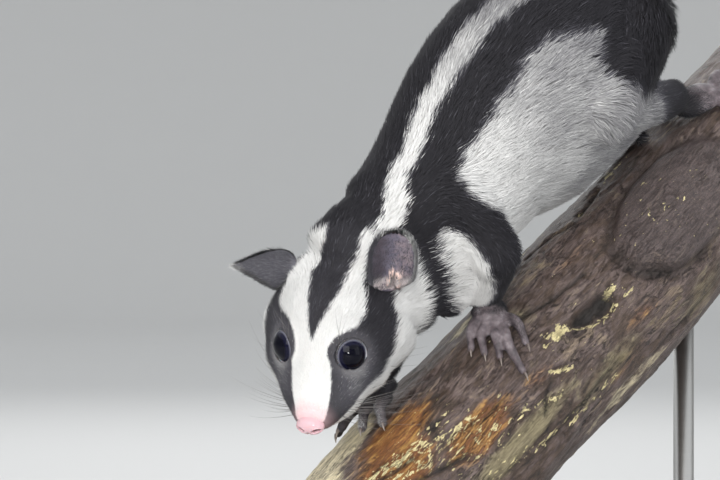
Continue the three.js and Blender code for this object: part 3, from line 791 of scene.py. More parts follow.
@dataclass(frozen=True)
class StainedWoodFinish:
    """The base's dark stained wood, with its grain along the length."""

    dark: Colour = (0.018, 0.011, 0.008)
    light: Colour = (0.062, 0.036, 0.023)

    def make(self, name: str) -> bpy.types.Material:
        """Builds the finish."""
        bench = Bench(name)
        grain = bench.noise(bench.place((0.05, 1.0, 1.0)), 190.0, 6.0, 0.65, 0.6)
        pores = bench.noise(bench.place((0.04, 1.0, 1.0)), 1500.0, 2.0)
        colour = bench.blend(grain.band(0.35, 0.68), self.dark, self.light)
        height = grain * 0.4 + pores.band(0.4, 0.55) * 0.6
        return bench.surface(
            Base_Color=colour, Roughness=0.3 + 0.18 * pores, Coat_Weight=0.25, Coat_Roughness=0.25,
            Normal=bench.bump(height, 0.00012, 0.6),
        )


@dataclass(frozen=True)
class SteelFinish:
    """The rods' satin steel, with fine marks round them."""

    colour: Colour = (0.55, 0.545, 0.53)

    def make(self, name: str) -> bpy.types.Material:
        """Builds the finish."""
        bench = Bench(name)
        marks = bench.noise(bench.place((1.0, 1.0, 26.0)), 150.0, 3.0)
        tone = bench.blend(marks, (0.46, 0.455, 0.445), self.colour)
        return bench.surface(
            Base_Color=tone, Metallic=1.0, Roughness=0.24 + 0.2 * marks,
            Normal=bench.bump(marks, 0.00003, 0.5)
        )


@dataclass(frozen=True)
class FloorFinish:
    """The studio floor's plain pale paint."""

    colour: Colour = (0.60, 0.60, 0.595)

    def make(self, name: str) -> bpy.types.Material:
        """Builds the finish."""
        bench = Bench(name)
        cloud = bench.noise(bench.place(), 3.0, 2.0)
        return bench.surface(Base_Color=self.colour, Roughness=0.6 + 0.1 * cloud)


def dress(
    piece: bpy.types.Object, finish: bpy.types.Material, slot: str, *nodes: str
) -> bpy.types.Object:
    """Gives a piece its finish and its body, and hides the CAD nodes it stands for.

    Args:
        piece: the piece.
        finish: its material.
        slot: the material slot; not used.
        *nodes: the names of the CAD nodes that it replaces.

    Returns:
        The same piece.
    """
    piece.data.materials.clear()
    piece.data.materials.append(finish)
    if nodes:
        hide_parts(*nodes)
    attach(piece, BODY)
    log.info("%s: %d faces", piece.name, len(piece.data.polygons))
    return piece


# The lie of the coat

EYE_RADIUS = 6.4
EYE_OPENING = 5.6
LID_RING = 6.0
MOUTH_FRONT = 24.8
MOUTH_LONG = 21.8
ROOT_SINK = 0.25  # how far a tuft's root lies under the skin, in millimetres
ARC = 0.58  # the millimetres round the branch that one degree spans
NOSE_AT = np.array([25.4, 0.0, -6.8])
HEAD_MIDDLE = 8.0  # how far the head's middle line runs under the eyes


def eye_at(side: Side) -> np.ndarray:
    """The middle of an eye in the head's frame."""
    return np.array([-1.3, 10.3 * side.value, -1.6])


def eye_axis(side: Side) -> np.ndarray:
    """The way an eye looks, in the head's frame."""
    return unit(np.array([0.52, 0.66 * side.value, 0.52]))


def eye_distance(head: np.ndarray) -> np.ndarray:
    """The distance of places in the head's frame from the middle of the nearer eye."""
    return np.minimum(*(np.linalg.norm(head - eye_at(side), axis=1) for side in Side))


def head_turn(head: np.ndarray) -> np.ndarray:
    """The degrees from the head's top round to its left, at places in its frame."""
    return np.degrees(np.arctan2(head[:, 1], head[:, 2] + HEAD_MIDDLE))


@dataclass(frozen=True)
class Chain:
    """A run of the body that the coat follows.

    Each row is a place in the branch's frame, the body's radius, the coat's depth and a tuft's
    length there.
    """

    name: str
    rows: tuple[tuple[float, ...], ...]


def head_row(x: float, z: float, *values: float) -> tuple[float, ...]:
    """A row of a chain whose place is given in the head's frame."""
    return (*head_to_branch([[x, 0.0, z]])[0], *values)


CHAINS = (
    Chain("trunk", (
        head_row(26, -7, 4.5, 0.2, 0.8), head_row(16, -8, 9.5, 0.5, 1.3),
        head_row(6, -8, 14.5, 0.7, 1.8),
        head_row(-5, -8, 18, 0.9, 2.4), head_row(-18, -8, 22, 1.3, 3.2), (-38, 2, 73, 22, 2.0, 4.4),
        (-22, 1.5, 77, 25, 2.6, 5.2), (-4, 0, 78, 28, 3.0, 6), (18, 0, 80, 31, 3.3, 6.6),
        (50, 0, 82, 37, 3.4, 7),
        (82, 0, 82, 39, 3.4, 7.2), (112, 0, 82, 34, 3.4, 7.4), (134, 0, 79, 22, 3.4, 8),
    )),
    Chain("arm_left", (
        (5, -18, 81, 15.5, 2.8, 6), (3, -27, 58, 9.5, 2.2, 5), (2, -17, 49, 7, 1.4, 3.6),
        (1, -9, 42, 6, 0.8, 2.6),
        (-6, -13, 37, 6, 0.2, 0.6),
    )),
    Chain("arm_right", (
        (-2, 18, 80, 15.5, 2.8, 6), (-8, 27, 56, 9.5, 2.2, 5), (-26, 16, 49, 7, 1.4, 3.8),
        (-41, 6, 43, 6, 1.0, 3.0),
        (-53, 7, 37, 6, 0.2, 0.6),
    )),
    Chain("leg_left", (
        (107, -17, 82, 25, 3.6, 8), (70, -27, 69, 14, 3.2, 7.5), (92, -21, 57, 10, 2.2, 6),
        (111, -15, 46, 8, 0.9, 3),
        (126, -16, 38, 8, 0.25, 0.8),
    )),
    Chain("leg_right", (
        (99, 17, 82, 25, 3.6, 8), (62, 27, 69, 14, 3.2, 7.5), (80, 22, 57, 10, 2.2, 6),
        (96, 17, 46, 8, 0.9, 3),
        (112, 18, 38, 8, 0.25, 0.8),
    )),
)

TAIL = Path([
    [0, 126, 0, 80], [0.1, 160, 1, 93], [0.21, 196, 2, 96], [0.32, 229, 2, 82], [0.43, 247, 1, 52],
    [0.54, 244, 0, 17],
    [0.65, 231, -1, -17], [0.76, 217, -2, -50], [0.88, 209, -2, -86], [1, 217, -1, -122],
])
TAIL_THICK = Path(
    [[0, 0.62], [0.08, 0.8], [0.25, 0.95], [0.5, 1], [0.75, 1], [0.88, 0.85], [0.95, 0.6], [1, 0.3]]
)
TAIL_FUR = 20.0
TAIL_FLESH = 0.34


@dataclass
class Lie:
    """The coat's direction, depth and length at some places, and where they are on a chain."""

    along: np.ndarray
    depth: np.ndarray
    length: np.ndarray
    chain: np.ndarray
    share: np.ndarray
    turn: np.ndarray
    weight: np.ndarray

    def on(self, name: str) -> np.ndarray:
        """How far each place belongs to a chain, from 0 to 1."""
        return self.weight[CHAIN_NAMES.index(name)]


def tail_chain() -> Chain:
    """The tail's run, from its root to its tip."""
    shares = np.linspace(0.03, 0.985, 15)
    rows = np.column_stack([
        TAIL(shares), TAIL_FLESH * TAIL_FUR * TAIL_THICK(shares), np.zeros(15),
        14 + 14 * TAIL_THICK(shares)[:, 0] * step(0, 0.12, shares) + 10 * step(0.86, 0.985, shares),
    ])
    return Chain("tail", tuple(tuple(row) for row in rows))


ALL_CHAINS = (*CHAINS, tail_chain())
CHAIN_NAMES = [chain.name for chain in ALL_CHAINS]
LIE_SPREAD = 2.6  # how softly one chain gives way to the next, in millimetres
ON_TAIL = CHAIN_NAMES.index("tail")


def read_lie(points: np.ndarray) -> Lie:
    """Works out the lie of the coat at places in the branch's frame.

    Args:
        points: the places, in millimetres.

    Returns:
        The lie at each.
    """
    count = len(points)
    total = np.zeros(count)
    along, depth, length = np.zeros((count, 3)), np.zeros(count), np.zeros(count)
    weights = np.zeros((len(ALL_CHAINS), count))
    best = np.zeros(count)
    share, turn = np.zeros(count), np.zeros(count)
    for number, chain in enumerate(ALL_CHAINS):
        rows = np.array(chain.rows, float)
        for i in range(len(rows) - 1):
            a, b = rows[i], rows[i + 1]
            line = b[:3] - a[:3]
            f = np.clip((points - a[:3]) @ line / (line @ line), 0.0, 1.0)
            values = a + f[:, None] * (b - a)
            gap = points - values[:, :3]
            away = np.linalg.norm(gap, axis=1) - values[:, 3]
            weight = np.exp(-np.clip(away, -9.0, 60.0) / LIE_SPREAD)
            total += weight
            weights[number] += weight
            along += weight[:, None] * unit(line)
            depth += weight * values[:, 4]
            length += weight * values[:, 5]
            nearer = weight > best
            best = np.where(nearer, weight, best)
            side = unit(
                np.cross([0.0, 0.0, 1.0] if abs(unit(line)[2]) < 0.9 else [1.0, 0.0, 0.0], line)
            )
            rise = np.cross(unit(line), side)
            share = np.where(nearer, (i + f) / (len(rows) - 1), share)
            turn = np.where(nearer, np.arctan2(gap @ side, gap @ rise), turn)
    weights /= total
    return Lie(unit(along), depth / total, length / total, weights.argmax(0), share, turn, weights)


# The coat's markings


@dataclass(frozen=True)
class Patch:
    """A marking on the coat: a closed outline of (millimetres along, degrees from mid-line)."""

    outline: tuple[tuple[float, float], ...]
    shade: float
    soft: float
    arc: float

    def cover(self, along: np.ndarray, degrees: np.ndarray) -> np.ndarray:
        """How far each place lies in the marking, from 0 to 1.

        Args:
            along: millimetres along the body.
            degrees: degrees from the mid-line.

        Returns:
            The cover, soft across the outline.
        """
        x, y = along, degrees * self.arc
        corners = [(a, d * self.arc) for a, d in self.outline]
        near = np.full(len(x), 1e9)
        inside = np.zeros(len(x), bool)
        for (x0, y0), (x1, y1) in zip(corners, corners[1:] + corners[:1]):
            dx, dy = x1 - x0, y1 - y0
            f = np.clip(((x - x0) * dx + (y - y0) * dy) / (dx * dx + dy * dy), 0, 1)
            near = np.minimum(near, np.hypot(x - x0 - f * dx, y - y0 - f * dy))
            crosses = (y0 > y) != (y1 > y)
            with np.errstate(divide="ignore", invalid="ignore"):
                at = x0 + (y - y0) * dx / (dy if dy else 1e-9)
            inside ^= crosses & (x < at)
        signed = np.where(inside, near, -near)
        return step(-self.soft, self.soft, signed)


FACE = Patch((
    (-48, -18), (-37, -27), (-30, -39), (-26.3, -46), (-22.7, -51), (-16.8, -54), (-12.6, -50),
    (-8.9, -39), (-4.2, -29),
    (0.6, -25), (3.4, -28), (5.8, -40), (10.3, -50), (15.2, -55), (19.9, -62), (24, -68), (32, -84),
    (32, 80), (24, 62),
    (22.6, 57), (19.4, 53), (15.5, 46), (10.6, 40), (7.6, 34), (4, 22.5), (1.8, 21), (-1.8, 26),
    (-5.5, 37), (-8.8, 47),
    (-13.4, 48.5), (-17.8, 46), (-23.1, 41), (-26.2, 37), (-30.9, 34), (-34.9, 32), (-48, 34),
), 1.0, 0.7, 0.31)
WEDGE = Patch((
    (0.5, 0), (-5.5, -7), (-10.5, -10), (-17.9, -13), (-25.4, -17), (-29.7, -10), (-34.1, -5),
    (-48, -5), (-48, 25),
    (-36.3, 22.5), (-32.8, 23), (-27.6, 22), (-21.9, 20), (-14.4, 15), (-8.7, 9), (-2.5, 4),
), 0.10, 0.7, 0.31)
CHEEK = Patch((
    (-46, 52), (-34, 54), (-28, 61), (-23.7, 74), (-21.9, 82), (-18.8, 87), (-14.9, 88),
    (-12.4, 92), (-9.2, 96),
    (-4.4, 98), (-0.5, 99), (3.1, 98), (7.5, 99), (12.6, 96), (16.2, 96), (19.7, 101), (22.5, 112),
    (24, 190), (-32, 190),
    (-27.2, 118), (-30, 106), (-33.1, 96), (-35.5, 82), (-37.8, 71), (-40, 62),
), 0.97, 0.9, 0.31)
STRIPE = Patch((
    (-40, 21), (-30.4, 21), (-25.3, 25), (-18.9, 26), (-9.5, 24), (2.9, 27), (14.4, 24), (27.7, 24),
    (39.8, 21), (56, 19),
    (90, 17), (125, 20), (150, 34), (150, 66), (125, 42), (90, 36), (58.7, 33), (42.8, 35),
    (30.3, 38), (18.8, 41),
    (7.5, 42), (-3, 44), (-8.5, 51), (-14.7, 53), (-18.7, 56), (-25, 50), (-30, 42), (-40, 42),
), 0.92, 1.3, 0.56)
FLANK = Patch((
    (87, 74), (83, 66), (69, 58), (56, 58), (41, 63), (26.4, 72), (16.7, 75), (7, 80), (6, 92),
    (10, 112), (12, 123),
    (10, 135), (0, 150), (-22, 172), (-22, 195), (122, 195), (114, 143), (101, 131), (88, 117),
    (79, 104), (77.5, 84),
), 0.86, 1.8, 0.56)
# The shoulder's patch is drawn across the body instead: (millimetres to the right, and out).
SHOULDER = Patch((
    (-21.5, 78), (-19.5, 70), (-16.5, 60), (-12, 51), (-6.5, 43), (-11, 39.5), (-20.5, 43.5),
    (-27.5, 52), (-31, 60),
    (-30, 68), (-26, 74),
), 0.95, 1.0, 1.0)
MIDLINE = Path([
    [-50, 28], [-33, 25], [-16, 12], [-7, 0], [6, -8], [21, -14], [40, -10], [60, -8], [100, -3],
    [150, 0],
])


class Markings:
    """The stripes, blaze and patches of the coat, the same for the hide and the fur over it."""

    def __init__(self) -> None:
        """Draws the noise that frays the markings' edges."""
        self.fray = Grain(5)

    def face(self, head: np.ndarray, points: np.ndarray) -> np.ndarray:
        """The shade on the head, from black at 0 to white at 1."""
        x = head[:, 0] + 0.5 * self.fray(points, 3.5, 2)
        turn = head_turn(head) + 1.5 * self.fray(points + 40.0, 3.0, 2)
        shade = np.full(len(x), 0.09)
        shade += 0.25 * np.exp(-(((x - 9) / 10) ** 2) - ((np.abs(turn) - 80) / 36) ** 2)
        # Painted light: a paler patch on the right temple only, standing in for the light falling
        # on that side of the head.
        shade += 0.14 * np.exp(-(((x + 9) / 7) ** 2) - ((turn + 64) / 22) ** 2)
        shade += 0.13 * step(11.5, 7.5, eye_distance(head))
        shade += 0.05 * self.fray(points, 6.0, 3)
        bands = FACE.cover(x, turn) * np.where(head[:, 1] > 0.0, 1.0, step(-41.0, -38.0, x))
        shade += bands * (FACE.shade - shade)
        shade += WEDGE.cover(x, turn) * (WEDGE.shade + 0.05 * self.fray(points, 5.0, 3) - shade)
        shade += CHEEK.cover(x, np.abs(turn)) * (CHEEK.shade - shade)
        return shade

    def back(self, points: np.ndarray) -> np.ndarray:
        """The shade on the neck, trunk and upper limbs."""
        frayed = self.fray(points, 5.0, 3)
        x = points[:, 0] + 2.6 * frayed
        centre = MIDLINE(points[:, 0])[:, 0]
        turn = np.degrees(np.arctan2(-points[:, 1], points[:, 2] - 80.0)) - centre
        turn = (turn + 180.0) % 360.0 - 180.0
        turn = np.where(turn > 0.0, turn, -turn * 20.0 / np.maximum(centre + 33.0, 19.0))
        turn = turn + 4.0 * self.fray(points + 90.0, 4.0, 2)
        shade = np.full(len(x), 0.05)
        mottle = 0.15 * self.fray(points + 30.0, 9.0, 3) * step(5, 40, points[:, 0])
        for patch in (STRIPE, FLANK):
            cover = patch.cover(x, turn)
            # Partly the coat's greyer rear, partly painted shade: the pale patches darken towards
            # the rear, standing in for the light falling off there.
            tone = patch.shade * (1.0 - 0.44 * step(0, 76, points[:, 0])) + mottle
            shade += cover * (tone - shade)
        return shade

    def read(self, points: np.ndarray, lie: Lie) -> np.ndarray:
        """The shade at places in the branch's frame.

        Args:
            points: the places, in millimetres.
            lie: the lie of the coat there.

        Returns:
            A shade from 0 to 1 for each place.
        """
        head = branch_to_head(points)
        front = step(-42.5, -39.5, head[:, 0])
        back = self.back(points)
        shade = front * self.face(head, points) + (1.0 - front) * back
        total = lie.on("trunk") * shade
        dark = np.full(len(points), 0.05)
        for name in ("arm_left", "arm_right", "leg_left", "leg_right"):
            low = (
                step(56.0, 50.0, points[:, 2]) if name.startswith("arm")
                else step(96.0, 104.0, points[:, 0])
            )
            total += lie.on(name) * (low * dark + (1.0 - low) * back)
        share = np.where(lie.chain == ON_TAIL, lie.share, 0.0)
        ragged = share + 0.03 * self.fray(points, 6.0, 2)
        total += lie.on("tail") * (0.05 + 0.83 * step(0.69, 0.76, ragged))
        ahead = points[:, 0] + 9.0 * (points[:, 1] > 0.0)
        cover = step(-18.0, -15.5, ahead) * step(-0.5, -4.0, ahead)
        cover = (
            cover * SHOULDER.cover(-np.abs(points[:, 1]) + self.fray(points, 4.0, 2), points[:, 2])
        )
        total += cover * (SHOULDER.shade - total)
        return np.clip(total, 0.0, 1.0)


MARKINGS = Markings()


def blush(points: np.ndarray, pale: np.ndarray) -> np.ndarray:
    """How pink the hide shows through round the nose, most where the coat is pale."""
    away = np.linalg.norm(branch_to_head(points) - (NOSE_AT + [1.0, 0.0, 0.0]), axis=1)
    return 0.9 * step(11.5, 4.5, away) * (0.25 + 0.75 * pale)


# The hands, feet and skin


def branch_radius(x: np.ndarray, turn: np.ndarray) -> np.ndarray:
    """The branch's radius at places along and round it, in millimetres."""
    waves = (
        0.7 * np.sin(x / 17 + 2 * turn) + 0.6 * np.sin(x / 41 - 3 * turn + 1)
        + 0.35 * np.sin(5 * turn + x / 29)
    )
    knot = math.radians(72)
    off = np.arctan2(np.sin(turn - knot), np.cos(turn - knot)) * 33
    return 33 + waves + 4.5 * np.exp(-((x - 62) ** 2 + off**2) / 17**2)


def on_branch(x: float, degrees: float, height: float) -> np.ndarray:
    """A point over the branch, so many degrees round from its top to the animal's left."""
    turn = math.radians(degrees)
    radius = branch_radius(np.array(x), np.array(turn)) + height
    return np.array([x, -radius * math.sin(turn), radius * math.cos(turn)])


@dataclass(frozen=True)
class Paw:
    """A hand or foot on the branch: its palm's ends, and its digits' joints, thickness and claw."""

    name: str
    heel: Point
    ball: Point
    broad: float
    digits: tuple[tuple[tuple[Point, ...], float, float], ...]

    def root(self, share: float) -> np.ndarray:
        """The place in the palm where a digit starts, for its share of the way across."""
        back = 0.62 + 0.16 * share
        a, b = np.array(self.heel), np.array(self.ball)
        return on_branch(*(a + back * (b - a) + np.array([0.0, 5.0, 0.3]) * (share - 0.5)))


PAWS = (
    Paw("hand_left", (0, 11, 6.5), (-6, 24, 3.8), 6.2, (
        (((-7, 14, 4), (-14, 17, 4.6), (-20, 24, 2.2)), 1.9, 2.6),
        (((-8, 21, 4), (-14, 25, 4.8), (-19, 33, 2.2)), 1.9, 2.6),
        (((-8, 26, 4), (-12, 33, 5), (-17, 42, 2.2)), 1.9, 2.8),
        (((-6, 30, 4), (-12, 42, 5), (-15.5, 58, 2.1)), 2.0, 3.4),
        (((-2, 28, 4), (-2.5, 37, 5), (-6, 48, 2.2)), 1.9, 2.8),
    )),
    Paw("hand_right", (-42, -7, 6.8), (-52, -11, 4), 6.4, (
        (((-50, -2, 4), (-57, 5, 5.4), (-62, 13, 2.4)), 2.1, 2.8),
        (((-52, -6, 4), (-60, -3, 5.4), (-67, 2, 2.3)), 2.1, 2.8),
        (((-53, -12, 4), (-61, -14, 5.2), (-68, -19, 2.3)), 2.1, 3.0),
        (((-51, -18, 4), (-58, -28, 5.2), (-64, -42, 2.1)), 2.0, 3.4),
        (((-47, -17, 4), (-48, -29, 4.8), (-50, -42, 2.2)), 1.9, 2.8),
    )),
    Paw("foot_left", (113, 20, 8.5), (133, 26, 4.5), 7.6, (
        (((120, 20, 4), (121, 6, 4.6), (119, -10, 2.6)), 2.6, 0.0),
        (((131, 24, 4), (140, 19, 4.8), (149, 17, 2.2)), 2.1, 3.4),
        (((132, 29, 4), (143, 26, 4.8), (153, 27, 2.2)), 2.1, 3.4),
        (((132, 34, 4), (144, 35, 5), (156, 39, 2.2)), 2.2, 3.6),
        (((130, 38, 4), (140, 44, 4.8), (150, 52, 2.2)), 2.1, 3.4),
    )),
    Paw("foot_right", (98, -26, 7.5), (116, -36, 4), 7.0, (
        (((105, -24, 4), (105, -10, 4.6), (102, 2, 2.6)), 2.6, 0.0),
        (((115, -29, 4), (124, -24, 4.8), (133, -22, 2.2)), 2.1, 3.4),
        (((116, -34, 4), (127, -32, 4.8), (137, -33, 2.2)), 2.1, 3.4),
        (((116, -39, 4), (128, -41, 5), (139, -46, 2.2)), 2.2, 3.6),
        (((114, -44, 4), (123, -51, 4.8), (132, -60, 2.2)), 2.1, 3.4),
    )),
)


def digit_path(paw: Paw, number: int) -> tuple[Path, np.ndarray]:
    """The middle line of a digit with its thickness, swelling at the knuckle and the tip.

    Args:
        paw: the hand or foot.
        number: the digit's place, from 0.

    Returns:
        The path, in the branch's frame, and the points it goes through.
    """
    joints, thick, _ = paw.digits[number]
    points = [paw.root(number / 4), *(on_branch(*joint) for joint in joints)]
    swell = (1.25, 1.12, 1.02, 0.8)
    rows = [
        [i / 3, *point, thick * swell[i], thick * swell[i] * 0.95] for i, point in enumerate(points)
    ]
    middle = 0.5 * (points[2] + points[3])
    rows.insert(3, [0.84, *middle, thick * 0.72, thick * 0.7])
    return Path(rows), np.array(points)


@dataclass
class Skin:
    """The one skin of head, trunk, limbs and tail, which lies under the coat by its depth."""

    flesh: tuple[str, ...] = (
        "head", "neck", "torso", "upper_arm_left", "forearm_left", "upper_arm_right",
        "forearm_right", "thigh_left", "shin_left", "thigh_right", "shin_right",
    )
    swell: float = 0.5
    first_voxel: float = 1.0
    last_voxel: float = 0.62
    most_faces: int = 92_000
    painted_arm_shade: float = 0.94  # painted shade: how much of the right arm's bare hide gives way to the dark coat, standing in for the shadow under the chin

    def blank(self) -> bpy.types.Object:
        """All the flesh as one closed shape, out to the tips of the coat."""
        made = bmesh.new()
        for name in self.flesh:
            part = bmesh.new()
            part.from_mesh(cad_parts[name].data)
            bmesh.ops.remove_doubles(part, verts=part.verts, dist=2e-6)
            bmesh.ops.recalc_face_normals(part, faces=part.faces)
            part.normal_update()
            for vertex in part.verts:
                vertex.co += vertex.normal * self.swell * MM
            mesh = finished(part, "part")
            made.from_mesh(mesh)
            bpy.data.meshes.remove(mesh)
        return add_object("blank", finished(made, "blank"))

    def remesh(self, piece: bpy.types.Object, size: float, rounds: int) -> None:
        """Wraps a piece in an even mesh and smooths it."""
        modifier = piece.modifiers.new("even", "REMESH")
        modifier.mode, modifier.voxel_size = "VOXEL", size * MM
        if rounds:
            soften = piece.modifiers.new("soften", "SMOOTH")
            soften.factor, soften.iterations = 0.5, rounds
        applied(piece)

    def extras(self) -> bpy.types.Mesh:
        """The bare or thinly covered shapes, which aren't shrunk: palms, digits and the tail."""
        shapes: list[tuple[Ball, np.ndarray]] = []
        finger, pad, long = Ball.make(20, 30), Ball.make(24, 16), Ball.make(28, 90)
        for paw in PAWS:
            a, b = on_branch(*paw.heel), on_branch(*paw.ball)
            rise = unit(np.array([0.0, *(a + b)[1:]]))
            wide = unit(np.cross(rise, b - a))
            path = Path([
                [0, *a, paw.broad * 0.85, paw.broad * 0.5],
                [0.5, *(a + b) / 2, paw.broad, paw.broad * 0.55],
                [1, *b, paw.broad * 0.92, paw.broad * 0.5],
            ])
            shapes.append((pad, loft(pad, path, wide, (0.3, 0.3))))
            for number in range(len(paw.digits)):
                line, _ = digit_path(paw, number)
                shapes.append(
                    (finger, loft(finger, line, np.array([0.6, 0.35, 0.72]), (0.1, 0.09)))
                )
        shares = np.linspace(0, 0.975, 24)
        thick = (
            TAIL_FLESH * TAIL_FUR * TAIL_THICK(shares)
            * (0.75 + 0.25 * step(0.0, 0.1, shares))[:, None]
        )
        rows = np.column_stack([shares / 0.975, TAIL(shares), thick, thick])
        shapes.append(
            (long, loft(long, Path(rows.tolist()), np.array([0.0, 1.0, 0.0]), (0.02, 0.03)))
        )
        made = bmesh.new()
        for ball, points in shapes:
            mesh = ball.mesh.copy()
            move_vertices(mesh, from_branch(points))
            part = bmesh.new()
            part.from_mesh(mesh)
            bmesh.ops.recalc_face_normals(part, faces=part.faces)
            part.to_mesh(mesh)
            part.free()
            made.from_mesh(mesh)
            bpy.data.meshes.remove(mesh)
        return finished(made, "extras")

    def depth(self, points: np.ndarray, lie: Lie) -> np.ndarray:
        """How far the skin lies under the coat's tips, less round the eyes and nose."""
        head = branch_to_head(points)
        face = (
            step(6.5, 12.0, eye_distance(head))
            * step(5.0, 9.0, np.linalg.norm(head - NOSE_AT, axis=1))
        )
        return lie.depth * (0.12 + 0.88 * face)

    def build(self) -> bpy.types.Object:
        """Builds the skin with the coat's shades on it."""
        piece = self.blank()
        self.remesh(piece, self.first_voxel, 3)
        points = to_branch(coordinates(piece.data))
        sunk = self.depth(points, read_lie(points)) + self.swell
        move_vertices(
            piece.data, coordinates(piece.data) - normals(piece.data) * sunk[:, None] * MM
        )
        both = bmesh.new()
        both.from_mesh(piece.data)
        both.from_mesh(self.extras())
        both.to_mesh(piece.data)
        both.free()
        self.remesh(piece, self.last_voxel, 2)
        self.thin(piece)
        piece.name = "skin"
        piece.data.name = "skin"
        smooth_shaded(piece.data)
        self.sculpt(piece.data)
        self.paint(piece.data)
        return piece

    def thin(self, piece: bpy.types.Object) -> None:
        """Leaves out faces where the skin is plain, and keeps them on the face, hands and feet."""
        points = to_branch(coordinates(piece.data))
        lie = read_lie(points)
        group = piece.vertex_groups.new(name="plain")
        plain = step(1.2, 3.0, lie.length)
        for level in range(11):
            chosen = np.nonzero(np.round(plain * 10) == level)[0]
            if level and len(chosen):
                group.add([int(i) for i in chosen], level / 10, "REPLACE")
        faces = len(piece.data.polygons)
        modifier = piece.modifiers.new("thin", "DECIMATE")
        modifier.ratio = min(1.0, self.most_faces / faces)
        modifier.vertex_group = group.name
        modifier.vertex_group_factor = 4.0
        applied(piece)
        piece.vertex_groups.clear()

    def sculpt(self, mesh: bpy.types.Mesh) -> None:
        """Presses in the mouth's line and the digits' creases."""
        points = to_branch(coordinates(mesh))
        out = normals(mesh)
        head = branch_to_head(points)
        groove = bell(mouth_distance(head), 0.0, 0.55)
        lips = bell(mouth_distance(head), 1.3, 0.9)
        move = -0.75 * groove + 0.22 * lips
        for paw in PAWS:
            for number in range(len(paw.digits)):
                _, joints = digit_path(paw, number)
                for joint in (joints[2], 0.35 * joints[1] + 0.65 * joints[2]):
                    for shift in (-0.7, 0.0, 0.7):
                        lie = unit(joints[3] - joints[1])
                        off = (points - joint) @ lie - shift
                        near = np.linalg.norm(points - joint, axis=1)
                        move -= 0.12 * bell(off, 0.0, 0.22) * step(4.0, 3.0, near)
        move_vertices(mesh, coordinates(mesh) + out * (move * MM)[:, None])

    def paint(self, mesh: bpy.types.Mesh) -> None:
        """Stores the coat's shades and the bare places on the skin, with painted shade over the
        right arm's hide.
        """
        points = to_branch(coordinates(mesh))
        lie = read_lie(points)
        limbs = 1.0 - lie.on("trunk") - lie.on("tail")
        # Painted shade: the right arm's bare hide is swapped for the dark coat, standing in for the
        # shadow under the chin.
        painted_arm_shade = 1.0 - self.painted_arm_shade * lie.on("arm_right")
        bare = step(2.1, 1.2, lie.length) * step(0.2, 0.6, limbs)
        store(mesh, "bare", bare * painted_arm_shade)
        pale = MARKINGS.read(points, lie) * (1.0 - 0.9 * bare)
        store(mesh, "pale", pale)
        store(mesh, "blush", blush(points, pale))


def mouth_distance(head: np.ndarray) -> np.ndarray:
    """The distance over the skin from the line of the mouth, of places in the head's frame."""
    share = np.clip((MOUTH_FRONT - head[:, 0]) / MOUTH_LONG, 0.0, 1.0)
    lip = np.radians(152.0 - 36.0 * np.sqrt(share))
    turn = np.arctan2(np.abs(head[:, 1]), head[:, 2] + HEAD_MIDDLE)
    reach = np.hypot(head[:, 1], head[:, 2] + HEAD_MIDDLE)
    return np.hypot((turn - lip) * reach, head[:, 0] - MOUTH_FRONT + MOUTH_LONG * share)


# The coat


@dataclass
class Tufts:
    """Many tufts of hair: their roots, directions, sizes and shades, one row each."""

    root: np.ndarray
    normal: np.ndarray
    along: np.ndarray
    length: np.ndarray
    width: np.ndarray
    lift: np.ndarray
    pale: np.ndarray
    tone: np.ndarray
    blush: np.ndarray
    unwrap: np.ndarray

    def part(self, chosen: np.ndarray) -> Tufts:
        """The tufts at some rows."""
        return Tufts(*(getattr(self, name)[chosen] for name in self.__dataclass_fields__))

    def mesh(self, name: str, bends: bool) -> bpy.types.Mesh:
        """Makes each tuft a closed blade of three sides, shaded with the coat it is part of.

        Args:
            name: the mesh's name.
            bends: True for a blade that bends at its widest place, and False for a straight one.

        Returns:
            The mesh of all the tufts.
        """
        side = unit(np.cross(self.normal, self.along))
        lie = np.cross(side, self.normal)
        sine, cosine = np.sin(self.lift)[:, None], np.cos(self.lift)[:, None]
        long, half = self.length[:, None], self.width[:, None] / 2

        def at(share: float) -> np.ndarray:
            """The middle of the tufts at a share of their length."""
            rise = sine * (share - (0.38 if bends else 0.0) * share**2)
            return (
                self.root + long * (lie * cosine * share + self.normal * rise)
                - self.normal * ROOT_SINK * MM
            )

        widest = 0.42 if bends else 0.0
        middle = at(widest)
        ring = [middle - side * half, middle + side * half, middle + self.normal * half * 0.8]
        shading = [self.normal - 0.34 * side, self.normal + 0.34 * side, self.normal]
        if bends:
            rows, shares = [at(0.0), *ring, at(1.0)], [0.0, widest, widest, widest, 1.0]
            faces = [(2, 1, 0), (3, 2, 0), (1, 3, 0), (1, 2, 4), (2, 3, 4), (3, 1, 4)]
            corner = np.array([(-1, 0), (0, -1), (0, 1), (0.3, 0), (1, 0)])
            shading = [self.normal, *shading, self.normal]
        else:
            rows, shares = [*ring, at(1.0)], [0.0, 0.0, 0.0, 1.0]
            faces = [(0, 2, 1), (0, 1, 3), (1, 2, 3), (2, 0, 3)]
            corner = np.array([(-1, -1), (-1, 1), (-0.4, 0), (1, 0)])
            shading = [*shading, self.normal]
        loops = np.array(faces).ravel()
        mesh = repeated(name, np.stack(rows, axis=1), loops, np.arange(len(faces)) * 3)
        shading = unit(np.stack(shading, axis=1)).reshape(-1, 3)
        mesh.normals_split_custom_set_from_vertices(shading.tolist())
        store(mesh, "tip", np.tile(shares, len(self.root)))
        for key in ("pale", "tone", "blush"):
            store(mesh, key, np.repeat(getattr(self, key), len(rows)))
        patch = self.unwrap[:, None, :] + 0.0015 * corner[loops][None]
        layer = mesh.uv_layers.new(name="OFBake")
        layer.data.foreach_set("uv", patch.astype(np.float32).ravel())
        return mesh


